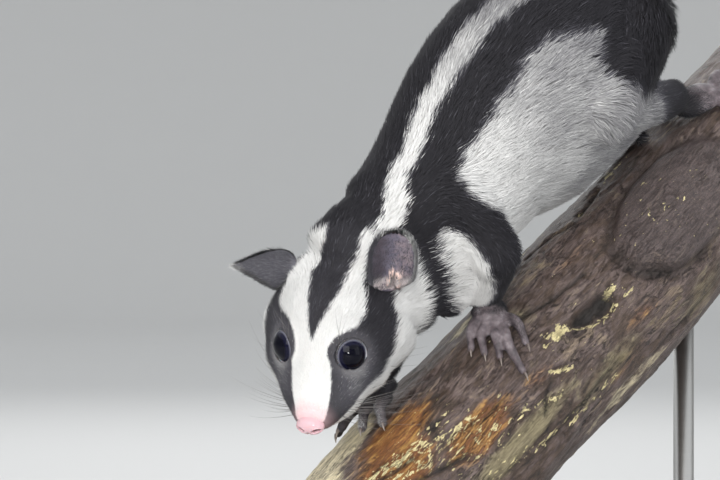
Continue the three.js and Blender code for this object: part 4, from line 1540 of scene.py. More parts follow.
@dataclass
class Coat:
    """The fur of the body, planted on the skin chain by chain."""

    seed: int = 11
    tail_crowd: float = 1.7  # tufts on each square millimetre of the tail
    tail_width: float = 0.66
    tail_rise: float = 10.4  # how far the tail's tufts stand off, in millimetres
    short: float = 3.6  # the length under which a tuft is a straight one
    least: float = 0.9  # the length under which no tuft is planted
    headroom: float = 0.4  # how far under the top of the solids the tips end
    eye_bare: float = 0.9
    mouth_bare: float = 0.5
    nose_bare: float = 5.4
    speck: float = 0.16  # how much paler a strewn tuft is
    unspecked: float = 0.965
    most: tuple[int, int] = (48_500, 32_500)  # straight and bent tufts in one piece
    fewest: int = 20

    def scatter(
        self, mesh: bpy.types.Mesh, rng: np.random.Generator
    ) -> tuple[np.ndarray, np.ndarray]:
        """Spreads roots over the skin, closer together where the fur is shorter.

        Args:
            mesh: the skin.
            rng: the seeded draw.

        Returns:
            The roots and the directions out of the skin there, in metres.
        """
        mesh.calc_loop_triangles()
        corners = np.empty(len(mesh.loop_triangles) * 3, np.int32)
        mesh.loop_triangles.foreach_get("vertices", corners)
        corners = corners.reshape(-1, 3)
        at, out = coordinates(mesh), normals(mesh)
        a, b, c = (at[corners[:, i]] for i in range(3))
        area = 0.5 * np.linalg.norm(np.cross(b - a, c - a), axis=1) / MM**2
        middle = to_branch((a + b + c) / 3)
        lie = read_lie(middle)
        crowd = np.clip(20.0 / lie.length, 1.5, 9.0) * (lie.length > self.least)
        tail = lie.chain == ON_TAIL
        crowd = np.where(tail, self.tail_crowd, crowd)
        sum_up = np.cumsum(area * crowd)
        count = int(sum_up[-1])
        picks = (np.arange(count) + rng.random(count)) * (sum_up[-1] / count)
        face = np.minimum(np.searchsorted(sum_up, picks), len(corners) - 1)
        u, v = rng.random(count), rng.random(count)
        over = u + v > 1
        u, v = np.where(over, 1 - u, u)[:, None], np.where(over, 1 - v, v)[:, None]
        tri = corners[face]
        root = at[tri[:, 0]] * (1 - u - v) + at[tri[:, 1]] * u + at[tri[:, 2]] * v
        direction = unit(out[tri[:, 0]] * (1 - u - v) + out[tri[:, 1]] * u + out[tri[:, 2]] * v)
        return root, direction

    def plan(self, skin: bpy.types.Mesh) -> tuple[Tufts, Lie, np.ndarray]:
        """Works out every tuft's direction, size and shade, and which of them are kept."""
        rng = np.random.default_rng(self.seed)
        root, out = self.scatter(skin, rng)
        points = to_branch(root)
        lie = read_lie(points)
        head = branch_to_head(points)
        count = len(root)
        wave, lock = Grain(21), Grain(22)
        along = lie.along @ BRANCH_AXES
        droop = np.where(lie.chain == 0, 0.35 * step(10, 60, points[:, 0]), 0.0)[:, None]
        along = along - droop * UP * 0.6
        for side in Side:
            away = head - eye_at(side)
            push = 0.9 * step(12.0, 6.5, np.linalg.norm(away, axis=1))[:, None]
            along = along + push * (unit(away) @ HEAD_AXES @ BRANCH_AXES)
        sideways = np.cross(out, along)
        swing = 0.22 * lock(points, 7.0) + 0.26 * wave(points + 300.0, 2.2)
        swing = swing * step(1.2, 6.0, lie.length) + 0.5 * (rng.random(count) - 0.5)
        along = along + sideways * swing[:, None]
        along = unit(along - np.sum(along * out, axis=1)[:, None] * out)
        length = lie.length * (0.84 + 0.32 * rng.random(count))
        close = eye_distance(head)
        length *= 0.42 + 0.58 * step(7.0, 12.5, close)
        tail = lie.chain == ON_TAIL
        lift = np.arcsin(
            np.clip(1.35 * np.maximum(lie.depth, 0.4) / np.maximum(lie.length, 1.0), 0.12, 0.6)
        )
        lift = np.where(tail, 0.46 - 0.16 * step(0.86, 1.0, lie.share), lift)
        lift = lift * (0.8 + 0.35 * rng.random(count)) + 0.05 * lock(points + 70.0, 5.0)
        flat = np.arcsin(np.clip(self.tail_rise / length, 0.0, 1.0))
        lift = np.where(tail, np.minimum(lift, flat), lift)
        for ear in EARS:
            base = step(10.0, 5.0, np.linalg.norm(head - ear.at, axis=1)) * (lie.chain == 0)
            along = unit(
                along + 1.3 * base[:, None] * (unit(np.array(ear.axis)) @ HEAD_AXES @ BRANCH_AXES)
            )
            along = unit(along - np.sum(along * out, axis=1)[:, None] * out)
            length *= 1.0 + 0.5 * base
            lift += 0.55 * base
        cheek = CHEEK.cover(head[:, 0], np.abs(head_turn(head)))
        length *= 1.0 + 0.5 * cheek * step(16, 0, head[:, 0]) * (lie.chain == 0)
        climb = length * MM * (along[:, 2] * np.cos(lift) + 0.62 * out[:, 2] * np.sin(lift))
        over = np.maximum(root[:, 2] + climb - CAD_BOX[1][2] + self.headroom * MM, 0.0)
        length *= 1.0 - np.clip(over / np.maximum(climb, 1e-6), 0.0, 0.7)
        width = (0.15 + 0.021 * lie.length) * (0.8 + 0.5 * rng.random(count))
        width = np.where(tail, self.tail_width, width)
        seen = root + along * (0.6 * length * np.cos(lift) * ~tail)[:, None] * MM
        seen += (
            rng.normal(0.0, 1.0, (count, 3)) * (0.13 * np.minimum(lie.length, 9.0) * MM)[:, None]
        )
        pale = MARKINGS.read(to_branch(seen), lie)
        speck = rng.random(count)
        pale = pale + self.speck * (speck - 0.5) * (1 - np.abs(2 * pale - 1))
        pale = np.clip(pale + np.where(speck > self.unspecked, self.speck, 0.0), 0, 1)
        turn = (lie.turn / (2 * math.pi) + 0.5) * 0.96 + 0.02
        unwrap = np.column_stack([0.02 + 0.96 * np.clip(lie.share, 0, 1), turn])
        tufts = Tufts(
            root, out, along, length * MM, width * MM, np.clip(lift, 0.05, 1.1), pale,
            rng.random(count), blush(points, pale), unwrap
        )
        bald = (
            (close < EYE_RADIUS + self.eye_bare) | (mouth_distance(head) < self.mouth_bare)
            | (np.linalg.norm(head - NOSE_AT, axis=1) < self.nose_bare)
        )
        return tufts, lie, ~bald

    def build(self, skin: bpy.types.Mesh, finish: bpy.types.Material) -> None:
        """Makes the coat's pieces, each under 200,000 triangles."""
        tufts, lie, kept = self.plan(skin)
        short = tufts.length < self.short * MM
        for number, chain in enumerate(ALL_CHAINS):
            for bends, label in ((False, "short"), (True, "long")):
                chosen = np.nonzero(kept & (lie.chain == number) & (short != bends))[0]
                pieces = max(1, math.ceil(len(chosen) / self.most[bends]))
                order = chosen[np.argsort(lie.share[chosen], kind="stable")]
                for i, rows in enumerate(np.array_split(order, pieces)):
                    if len(rows) >= self.fewest:
                        name = f"coat_{chain.name}_{label}_{i + 1}"
                        mesh = tufts.part(rows).mesh(name, bends)
                        dress(add_object(name, mesh), finish, "coat")


# The face


@dataclass(frozen=True)
class Ear:
    """A thin leaf of skin curled into a cup, in the head's frame."""

    side: Side
    at: Point
    axis: Point
    open: Point
    width: float
    broad: float
    full: float
    point: float
    length: float
    # The grey of the hair on the ear's back; the right ear's is painted paler than the left's, as
    # painted light.
    shade: float
    thick: float = 1.1
    curls: tuple[float, float] = (6.2, 13.0)
    hairs: int = 15_000
    # Each fold's height, its middle and that middle's lean, its breadth, and the shares of the
    # length over which it rises and falls.
    folds: tuple[tuple[float, ...], ...] = (
        (1.9, -1.4, 5.0, 1.0, 0.06, 0.2, 0.36, 0.52),
        (2.2, 4.4, -4.0, 1.2, 0.05, 0.15, 0.28, 0.44),
        (0.8, 5.6, -1.5, 0.8, 0.2, 0.3, 0.6, 0.75),
    )

    def frame(self) -> np.ndarray:
        """Rows across the ear, along it and out of its cup."""
        along = unit(np.array(self.axis))
        out = np.array(self.open)
        out = unit(out - (out @ along) * along)
        return np.array([np.cross(along, out), along, out])

    def build(self, finish: bpy.types.Material, fur: bpy.types.Material) -> None:
        """Makes the ear and the short hair on it."""
        ball = Ball.make(72, 60)
        t, turn = ball.share, ball.turn
        leaf = self.width * np.minimum(1, np.sqrt(t / 0.15) * 0.5 + t * 1.2)
        narrow = np.clip((t - self.broad) / (1 - self.broad), 0, 1)
        leaf = leaf * np.maximum(1 - narrow**self.full, 0) ** self.point
        thick = self.thick * (1 - 0.35 * t) * np.minimum(1, np.minimum(12 * t, 9 * (1 - t)))
        curl = self.curls[0] + (self.curls[1] - self.curls[0]) * t
        across = leaf * np.cos(turn)
        angle = across / curl
        inner = step(0.25, -0.25, np.sin(turn))
        radius = curl + 0.5 * thick * np.sin(turn)
        ridges = 0.05 * inner * np.sin(t * 46) * step(0.45, 0.6, t) * step(0.98, 0.8, t)
        fold = np.zeros(len(t))
        for rise, middle, lean, broad, low, high, last, end in self.folds:
            crest = np.exp(-((across - middle - lean * t) ** 2) / broad)
            fold += rise * inner * crest * step(low, high, t) * step(end, last, t)
        radius = radius - fold - ridges
        points = np.column_stack([
            radius * np.sin(angle), self.length * t + 0.8 * np.sin(angle) ** 2,
            curl - radius * np.cos(angle),
        ])
        mesh = ball.mesh.copy()
        place = head_to_branch(points @ self.frame() + np.array(self.at))
        move_vertices(mesh, from_branch(place))
        store(mesh, "inner", inner)
        warm = np.exp(-(((across - 1.4) / 3.4) ** 2) - ((t - 0.22) / 0.15) ** 2)
        crest = step(0.55, 1.7, fold) * step(0.66, 0.5, t) * (0.4 + 0.6 * step(0.6, 0.3, t))
        pale = 0.34 + 0.20 * step(-5.0, 3.0, across) + 0.16 * warm + 0.55 * crest
        store(mesh, "root", np.clip(pale, 0, 1))
        name = f"ear_{self.side.name.lower()}_skin"
        piece = add_object(name, mesh)
        dress(piece, finish, "ear_skin", f"ear_{self.side.name.lower()}")
        self.hair(mesh, t, turn, fur)

    def hair(
        self, mesh: bpy.types.Mesh, t: np.ndarray, turn: np.ndarray, fur: bpy.types.Material
    ) -> None:
        """Plants short hair on the back, rim and root of the ear."""
        rng = np.random.default_rng(31 + self.side.value)
        at, out = coordinates(mesh), normals(mesh)
        back = np.sin(turn) > -0.12
        area = (
            np.where(back, 1.0, 0.14 + 0.5 * step(0.3, 0.12, t)) * (t > 0.02)
            * np.sin(math.pi * np.clip(t, 0.02, 0.98))
        )
        picks = rng.choice(len(at), size=self.hairs, p=area / area.sum())
        jitter = rng.normal(0, 0.22 * MM, (len(picks), 3))
        normal = out[picks]
        jitter -= np.sum(jitter * normal, axis=1)[:, None] * normal
        sideways, axis, opening = self.frame() @ HEAD_AXES @ BRANCH_AXES
        rim = step(0.5, 0.1, np.abs(np.sin(turn[picks])))[:, None]
        normal = unit(
            normal + 1.6 * rim * (np.sign(np.cos(turn[picks]))[:, None] * sideways + 0.9 * opening)
        )
        along = unit(np.tile(axis, (len(picks), 1)) + 0.5 * rng.normal(0, 0.5, (len(picks), 3)))
        along = unit(along - np.sum(along * normal, axis=1)[:, None] * normal)
        share, behind = t[picks], back[picks]
        length = np.where(
            behind, 2.3 + 1.0 * rng.random(len(picks)),
            1.6 + 2.4 * rng.random(len(picks)) * step(0.5, 0.1, share)
        )
        tuft = step(0.7, 0.88, share) * step(0.1, 0.8, np.cos(turn[picks]))
        edge = step(0.5, 0.1, np.abs(np.sin(turn[picks]))) * step(-0.9, -0.2, np.cos(turn[picks]))
        tip = 0.42 * step(0.84, 0.97, share) + 0.34 * tuft + 0.28 * edge
        pale = np.where(behind, self.shade + tip, 0.25 + 0.6 * step(0.35, 0.1, share))
        pale = np.clip(pale + 0.14 * (rng.random(len(picks)) - 0.5), 0, 1)
        unwrap = np.column_stack(
            [0.02 + 0.96 * share, 0.02 + 0.96 * (turn[picks] / (2 * math.pi) + 0.5)]
        )
        tufts = Tufts(
            at[picks] + jitter, normal, along, length * MM, np.full(len(picks), 0.26 * MM),
            np.where(behind, 0.2, 0.5) * (0.7 + 0.6 * rng.random(len(picks))), pale,
            rng.random(len(picks)),
            np.where(behind, 0.0, 0.35 * step(0.3, 0.1, share)), unwrap,
        )
        name = f"coat_ear_{self.side.name.lower()}"
        dress(add_object(name, tufts.mesh(name, False)), fur, "ear_skin")


# Painted light: the right ear's back hair is paler (0.30 against 0.25), standing in for the light
# on that side.
EARS = (
    Ear(
        Side.LEFT, (-24, 20.4, 3.6), (-0.45, 0.14, 0.89), (0.66, 0.5, 0.6), 9.8, 0.42, 2.0, 0.5,
        25.0, 0.25
    ),
    Ear(
        Side.RIGHT, (-28, -13, 8.4), (0.09, -0.99, -0.1), (-0.1, -0.1, -1), 10.6, 0.14, 1.1, 1.25,
        23.6, 0.30
    ),
)


@dataclass(frozen=True)
class Eye:
    """An eye and the wet rim of skin round it."""

    side: Side

    def frame(self) -> np.ndarray:
        """Rows across the eye, up it and out along its axis, in the head's frame."""
        out = eye_axis(self.side)
        across = unit(np.cross([0.0, 0.0, 1.0], out))
        return np.array([across, np.cross(out, across), out])

    def build(self, wet: bpy.types.Material, rim: bpy.types.Material) -> None:
        """Makes the eye and its lids."""
        name = self.side.name.lower()
        ball = Ball.make(64, 48)
        off = math.pi * (1 - ball.share)
        bulge = 1.0 + 0.035 * bell(off, 0.0, 0.55)
        points = coordinates(ball.mesh) * EYE_RADIUS * bulge[:, None]
        move_vertices(
            ball.mesh, from_branch(head_to_branch(points @ self.frame() + eye_at(self.side)))
        )
        store(ball.mesh, "off", off / (math.pi / 2))
        dress(add_object(f"eyeball_{name}", ball.mesh), wet, "eye", f"eye_{name}")
        self.lids(name, rim)

    def lids(self, name: str, rim: bpy.types.Material) -> None:
        """Makes the two lids as one ring, thicker below and drawn out at its inner corner, with a
        painted reflection along the lower lid's inner edge.
        """
        made = bmesh.new()
        start = bmesh.ops.create_circle(made, segments=20, radius=1.0)["verts"]
        full_spin(made, [*start, *made.edges], (-LID_RING, 0, 0), (0, 1, 0), 96, 1e-4)
        mesh = finished(made, "lids")
        at = coordinates(mesh) + [LID_RING, 0, 0]
        around = np.arctan2(at[:, 2], at[:, 0])
        reach = np.hypot(at[:, 0], at[:, 2]) - LID_RING
        rise = at[:, 1]
        below = step(0.2, -1.0, np.sin(around))
        turn = around - self.corner()
        inward = bell(np.arctan2(np.sin(turn), np.cos(turn)), 0.0, 0.3)
        tube = 0.46 + 0.10 * below
        radius = EYE_OPENING + 0.35 + tube * reach * 0.95 + 0.8 * inward
        height = math.sqrt(EYE_RADIUS**2 - EYE_OPENING**2) + 0.12 - 0.55 * inward + tube * rise
        points = np.column_stack([radius * np.cos(around), radius * np.sin(around), height])
        move_vertices(mesh, from_branch(head_to_branch(points @ self.frame() + eye_at(self.side))))
        inner = step(0.3, -0.7, reach) * step(-0.6, 0.4, rise)
        # The lids' inner edge is their own grey above; below, it is painted pale as a painted
        # reflection of the wet tear film.
        store(mesh, "shade", np.clip(1.0 - (0.4 + 0.45 * below) * inner, 0, 1))
        dress(add_object(f"lids_{name}", smooth_shaded(mesh)), rim, "eye")

    def corner(self) -> float:
        """The angle round the eye of its inner corner, towards the nose."""
        nose = (NOSE_AT - eye_at(self.side)) @ self.frame().T
        return math.atan2(nose[1], nose[0])


@dataclass(frozen=True)
class Nose:
    """The bare pink pad with its two nostrils and the cleft between them."""

    size: tuple[float, float, float] = (3.2, 4.7, 3.2)

    def build(self, finish: bpy.types.Material) -> None:
        """Makes the pad."""
        ball = Ball.make(110, 90)
        unit_at = coordinates(ball.mesh)
        points = unit_at * self.size
        shade = np.zeros(len(points))
        folded = np.column_stack([points[:, 0], np.abs(points[:, 1]), points[:, 2]])
        for t in np.linspace(0, 1, 12):
            spot = np.array([2.7 - 1.2 * t, 1.9 + 2.1 * t, 0.8 + 0.9 * t - 1.3 * t * t])
            away = np.linalg.norm(folded - spot, axis=1)
            size = 0.85 - 0.25 * t
            shade = np.maximum(shade, bell(away, 0.0, size))
        cleft = bell(points[:, 1], 0.0, 0.32) * step(0.6, -0.6, points[:, 2]) * (points[:, 0] > 0)
        rim = bell(shade, 0.3, 0.16)
        depth = 1.5 * step(0.35, 0.95, shade) + 0.35 * cleft - 0.2 * rim
        points = points - unit_at * depth[:, None]
        points[:, 1] *= 1.0 + 0.06 * bell(points[:, 2], 0.0, 2.0)
        move_vertices(ball.mesh, from_branch(head_to_branch(points + NOSE_AT)))
        # Painted shade: the stored shade darkens the nostrils' and the cleft's hollows, and the pad
        # is painted darker towards its lower edge.
        lip = 0.5 * step(-0.9, -2.2, points[:, 2]) * step(-1.0, 1.0, points[:, 0])
        store(ball.mesh, "shade", np.clip(step(0.4, 0.85, shade) + 0.45 * cleft + lip, 0, 1))
        dress(add_object("nose_pad", ball.mesh), finish, "nose_skin", "nose")


@dataclass(frozen=True)
class Whiskers:
    """The long stiff hairs of the muzzle, brows and cheeks."""

    seed: int = 8
    each_side: int = 22

    def build(self, finish: bpy.types.Material) -> None:
        """Makes all the whiskers as one piece."""
        rng = np.random.default_rng(self.seed)
        ball = Ball.make(6, 14)
        copies = []
        for side in Side:
            for i in range(self.each_side):
                row, along = i % 4, rng.random()
                start = np.array(
                    [19.5 - 9 * along, (5.6 + 3.2 * along) * side.value, -8.2 - 1.25 * row]
                )
                aim = unit(
                    np.array(
                        [
                            -0.25 + 0.7 * (0.5 - along), (1.0 - 0.25 * along) * side.value,
                            -0.15 - 0.28 * row + 0.25 * rng.random()
                        ]
                    )
                )
                copies.append(
                    self.hair(ball, start, aim, 17 + 17 * rng.random() * (1.1 - 0.3 * along), 0.10)
                )
            for i in range(4):
                start = eye_at(side) + np.array([2.0 - 1.2 * i, -1.2 * side.value, 7.0])
                aim = unit(np.array([-0.35, 0.25 * side.value, 1.0]) + 0.25 * rng.normal(size=3))
                copies.append(self.hair(ball, start, aim, 10 + 6 * rng.random(), 0.07))
            for i in range(4):
                start = np.array([-4.0 - 3 * i, 18.8 * side.value, -14.0 - 0.5 * i])
                aim = unit(np.array([-0.3, 0.9 * side.value, -0.4]) + 0.2 * rng.normal(size=3))
                copies.append(self.hair(ball, start, aim, 13 + 6 * rng.random(), 0.08))
        mesh = joined(
            "whiskers", ball.mesh, [from_branch(head_to_branch(points)) for points in copies]
        )
        store(mesh, "tip", np.tile(ball.share, len(copies)))
        dress(add_object("whiskers", mesh), finish, "coat")

    def hair(
        self, ball: Ball, start: np.ndarray, aim: np.ndarray, long: float, thick: float
    ) -> np.ndarray:
        """One whisker that droops and sweeps back as it goes."""
        rows = []
        for share in np.linspace(0, 1, 6):
            sweep = np.array([-0.28, 0.0, -0.22]) * share**2
            rows.append(
                [
                    share, *(start + long * (aim * share + sweep)),
                    *(2 * [thick * (1.05 - 0.93 * share)])
                ]
            )
        return loft(ball, Path(rows), unit(np.cross(aim, [0.3, 0.2, 1.0])), (0.02, 0.02))


@dataclass(frozen=True)
class Claws:
    """The curved claws of the hands and feet."""

    def build(self, finish: bpy.types.Material) -> None:
        """Makes all the claws as one piece."""
        ball = Ball.make(16, 20)
        copies = []
        for paw in PAWS:
            for number, (_, thick, claw) in enumerate(paw.digits):
                if claw:
                    copies.append(self.hook(ball, digit_path(paw, number)[1], thick, claw))
        mesh = joined("claws", ball.mesh, [from_branch(points) for points in copies])
        store(mesh, "tip", np.tile(ball.share, len(copies)))
        dress(add_object("claws", mesh), finish, "paw_skin")

    def hook(self, ball: Ball, points: np.ndarray, thick: float, claw: float) -> np.ndarray:
        """One claw, high and narrow at its root and sharp at its tip."""
        tip = points[-1]
        lie = unit(points[-1] - points[-2])
        rise = unit(np.array([0.0, *tip[1:]]))
        rows = []
        for t in np.linspace(0, 1, 7):
            at = (
                tip + lie * claw * (t - 0.25)
                + rise * (thick * 0.35 + claw * (0.3 * t - 0.5 * t * t))
            )
            rows.append([t, *at, 0.62 * (1 - 0.9 * t), 0.95 * (1 - 0.88 * t)])
        return loft(ball, Path(rows), unit(np.cross(rise, lie)), (0.12, 0.04))


# The branch and the stand


@dataclass
class Branch:
    """The cut length of branch, with its knot, cracks, flakes and worn ridges."""

    low: float = -122.0
    high: float = 186.0
    around: int = 260
    along: int = 370
    cap: float = 0.035

    def build(self, finish: bpy.types.Material) -> None:
        """Makes the branch."""
        ball = Ball.make(self.around, self.along)
        share, theta = ball.share, math.pi / 2 - ball.turn
        disc = np.clip(np.minimum(share, 1 - share) / self.cap, 0, 1)
        side = (disc >= 1.0).astype(float)
        f = np.clip((share - self.cap) / (1 - 2 * self.cap), 0, 1)
        x = self.low + (self.high - self.low) * f
        radius = branch_radius(x, theta)
        flat = np.column_stack([x, radius * -np.sin(theta), radius * np.cos(theta)])
        relief, marks = self.relief(flat, x, theta)
        chamfer = 1.6 * step(2.4, 0.0, np.minimum(x - self.low, self.high - x))
        reach = (radius + relief - chamfer) * disc
        grain = (
            0.12 * np.sin(reach * 2.2 + 3.0 * Grain(41)(flat, 9.0))
            + 0.15 * Grain(42)(flat * [1, disc.mean(), 1], 3.0)
        )
        push = np.where(share < 0.5, 1.0, -1.0) * (0.5 + grain) * (1.0 - side)
        points = np.column_stack([x + push, reach * -np.sin(theta), reach * np.cos(theta)])
        move_vertices(ball.mesh, from_branch(points))
        for key, values in marks.items():
            store(ball.mesh, key, np.clip(values * side, 0, 1))
        store(ball.mesh, "end", 1.0 - side)
        store(ball.mesh, "ring", reach)
        dress(add_object("branch_bark", ball.mesh), finish, "bark", "perch_log")

    def relief(
        self, flat: np.ndarray, x: np.ndarray, theta: np.ndarray
    ) -> tuple[np.ndarray, dict[str, np.ndarray]]:
        """The rise and fall of the bark, in millimetres, and the places of its marks.

        Args:
            flat: places on the plain branch, in its frame.
            x: millimetres along it.
            theta: turn round it from its top towards the animal's left, in radians.

        Returns:
            The relief, and a shade for each named mark.
        """
        grain, cloud = Grain(43), Grain(44)
        degrees = np.degrees(theta + 2.6 * math.pi) % 360.0 - 108.0
        twist = flat * [0.3, 1.0, 1.0]
        plate = grain(twist, 6.0, 4)
        fine = grain(flat * [0.5, 1.0, 1.0] + 50.0, 2.0, 3)
        furrow = step(0.07, 0.0, np.abs(grain(twist + 120.0, 8.0, 4)))
        broken = step(-0.1, 0.5, cloud(flat, 24.0))
        relief = 1.0 * plate + 0.4 * fine - 1.0 * furrow * broken - 0.6

        def spot(at: float, turn: float, long: float, wide: float) -> np.ndarray:
            """A soft oval mark along the grain."""
            off = (degrees - turn) * ARC
            return np.exp(-(((x - at) / long) ** 2) - (off / wide) ** 2)

        def streak(places: list[tuple[float, float]], wide: float) -> np.ndarray:
            """A soft mark along a line of places and turns."""
            nearest = np.full(len(x), 1e9)
            for (xa, ta), (xb, tb) in zip(places, places[1:]):
                run, rise, off = xb - xa, (tb - ta) * ARC, (degrees - ta) * ARC
                f = np.clip(((x - xa) * run + off * rise) / (run * run + rise * rise), 0.0, 1.0)
                nearest = np.minimum(nearest, np.hypot(x - xa - f * run, off - f * rise))
            return bell(nearest, 0.0, wide)

        away = np.hypot((x - 83) / 1.7, (degrees - 56) * ARC) + 2.2 * cloud(flat + 60.0, 15.0, 2)
        rim = bell(away, 21, 1.8) * (0.55 + 0.45 * step(-0.3, 0.5, cloud(flat, 13.0)))
        rim *= 0.4 + 0.6 * step(95, 62, x)
        relief = relief * (0.5 + 0.5 * step(14, 22, away)) + 1.6 * step(22, 8, away) - 3.0 * rim
        hollow = np.clip(1.7 * np.maximum(spot(21, 62.5, 8, 3.2), spot(29, 65, 5, 4.0)), 0.0, 1.0)
        ridge = streak([(11, 58), (16, 64), (21, 70), (28, 73), (36, 71.5), (44, 70)], 1.2)
        crack = np.maximum.reduce([
            streak([(58, 5), (66, 2.5), (74, -3)], 1.1), 0.8 * spot(-2, 100, 22, 1.0),
            0.7 * spot(55, 120, 26, 1.1),
            streak([(-80, 48), (-66, 57), (-52, 66)], 1.0),
            0.8 * streak([(-19, 84), (-14, 76), (-9, 74)], 0.9),
            0.8 * streak([(2, 30), (16, 37), (34, 41)], 0.9),
            0.7 * streak([(30, -2), (44, 2), (52, 8)], 0.9),
            0.6 * spot(-30, 58, 20, 0.7), rim * 0.85,
            0.9 * streak([(-84, 33), (-74, 39), (-66, 41)], 0.9),
        ])
        relief += 0.9 * ridge - 3.4 * hollow - 1.5 * crack
        chips = [
            (-84, 30), (-77, 34), (-70, 36.3), (-64, 38.5), (-56, 43.5), (-50, 48.5), (-40, 54.5)
        ]
        flake = np.maximum.reduce([
            spot(33, -17, 9, 3.2), spot(86, -6, 9, 2.2), spot(59.6, 4, 2.6, 1.4),
            1.2 * spot(7, 55.5, 7, 3.2),
            1.2 * spot(35.5, 62.5, 4, 2.2), 0.74 * streak(chips, 3.4),
            0.62 * streak([(-76, 42), (-63, 51), (-50, 64)], 3.6),
            0.58 * spot(-62, 44, 24, 9), 0.52 * spot(-44, 66, 20, 7),
            0.95 * streak([(-6, 69), (-2, 74), (2, 77)], 1.4),
            0.6 * streak([(-32, 70), (-22, 76), (-8, 82)], 2.0), 0.9 * spot(5, -3, 8, 2.0),
            0.22 * spot(74, 48, 26, 16),
            0.6 * streak([(-50, 86), (-20, 98), (16, 108)], 2.2), 0.72 * ridge,
            0.6 * spot(-4, 24, 7, 4),
        ])
        rust = np.maximum.reduce([
            1.2 * spot(-60, 19, 20, 9), 1.1 * spot(-42, 61, 19, 8), 1.3 * spot(-74, 38, 18, 12),
            0.55 * spot(38, 88, 15, 5),
            0.5 * spot(-12, 66, 12, 6), 0.45 * spot(36, 28, 20, 5), 0.5 * spot(20, 104, 30, 8),
        ])
        ochre = np.maximum.reduce([
            0.95 * spot(-36, 84, 44, 6), 0.7 * spot(14, 98, 34, 8), 0.6 * spot(70, 112, 30, 12),
            0.6 * spot(4, 28, 10, 9),
            0.4 * spot(24, 12, 22, 6),
        ])
        bare = np.maximum.reduce([
            1.9 * spot(-76, -24, 20, 13), 1.5 * spot(-104, -6, 22, 15), 0.6 * spot(-8, -6, 14, 3.6),
            0.45 * spot(20, 125, 50, 8),
        ])
        # Painted shade: the cracks, the hollow, the knot's groove and broken furrows are painted
        # dark, less so on the ridge.
        dark = (
            np.clip(crack * 0.9 + 0.95 * hollow + 0.35 * furrow * broken, 0, 1)
            * (1.0 - 0.8 * np.clip(ridge, 0, 1))
        )
        return np.minimum(relief, 0.25 + 0.2 * relief), {
            "rust": rust, "ochre": ochre, "bare": bare, "flake": flake, "knot": step(24, 17, away),
            "crack": dark,
        }


@dataclass
class Stand:
    """The flat base and the two rods that hold the branch."""

    length: float = 236.0
    width: float = 150.0
    thick: float = 14.0
    corner: float = 16.0
    edge: float = 1.5
    rod: float = 4.0
    collar: tuple[Point2, ...] = (
        (8.5, 0.0), (8.8, 0.6), (8.8, 2.6), (8.0, 3.6), (5.4, 4.2), (4.0, 5.6),
    )

    def base(self, finish: bpy.types.Material) -> None:
        """Makes the base with round corners and eased edges."""
        made = bmesh.new()
        bmesh.ops.create_cube(made, size=1.0)
        bmesh.ops.scale(
            made, vec=(self.length * MM, self.width * MM, self.thick * MM), verts=made.verts
        )
        bmesh.ops.translate(made, vec=(0, 0, self.thick * MM / 2), verts=made.verts)
        upright = [
            edge for edge in made.edges if abs(edge.verts[0].co.z - edge.verts[1].co.z) > 1e-4
        ]
        self.bevel(made, upright, self.corner, 16)
        rims = [edge for edge in made.edges if abs(edge.verts[0].co.z - edge.verts[1].co.z) < 1e-6]
        rims = [edge for edge in rims if any(abs(face.normal.z) < 0.5 for face in edge.link_faces)]
        self.bevel(made, rims, self.edge, 4)
        piece = add_object("stand_base_wood", finished(made, "base"))
        dress(piece, finish, "stand_base", "stand_base")

    def bevel(self, made: bmesh.types.BMesh, edges: list, size: float, segments: int) -> None:
        """Rounds some edges to a size in millimetres."""
        bmesh.ops.bevel(
            made, geom=edges, offset=size * MM, segments=segments,
            affect="EDGES", profile=0.5, material=-1,
        )

    def rods(self, finish: bpy.types.Material) -> None:
        """Makes each rod with a turned collar at its foot."""
        for name in ("stand_rod_lower", "stand_rod_upper"):
            low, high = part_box(name)
            foot = [(reach * MM, low.z + height * MM) for reach, height in self.collar]
            profile = [(0.0, low.z), *foot, (self.rod * MM, high.z), (0.0, high.z)]
            at = ((low.x + high.x) / 2, (low.y + high.y) / 2, 0)
            mesh = smooth_shaded(turned(name, profile, 48, 1e-6, at))
            dress(add_object(f"{name}_steel", mesh), finish, "stand_rod", name)


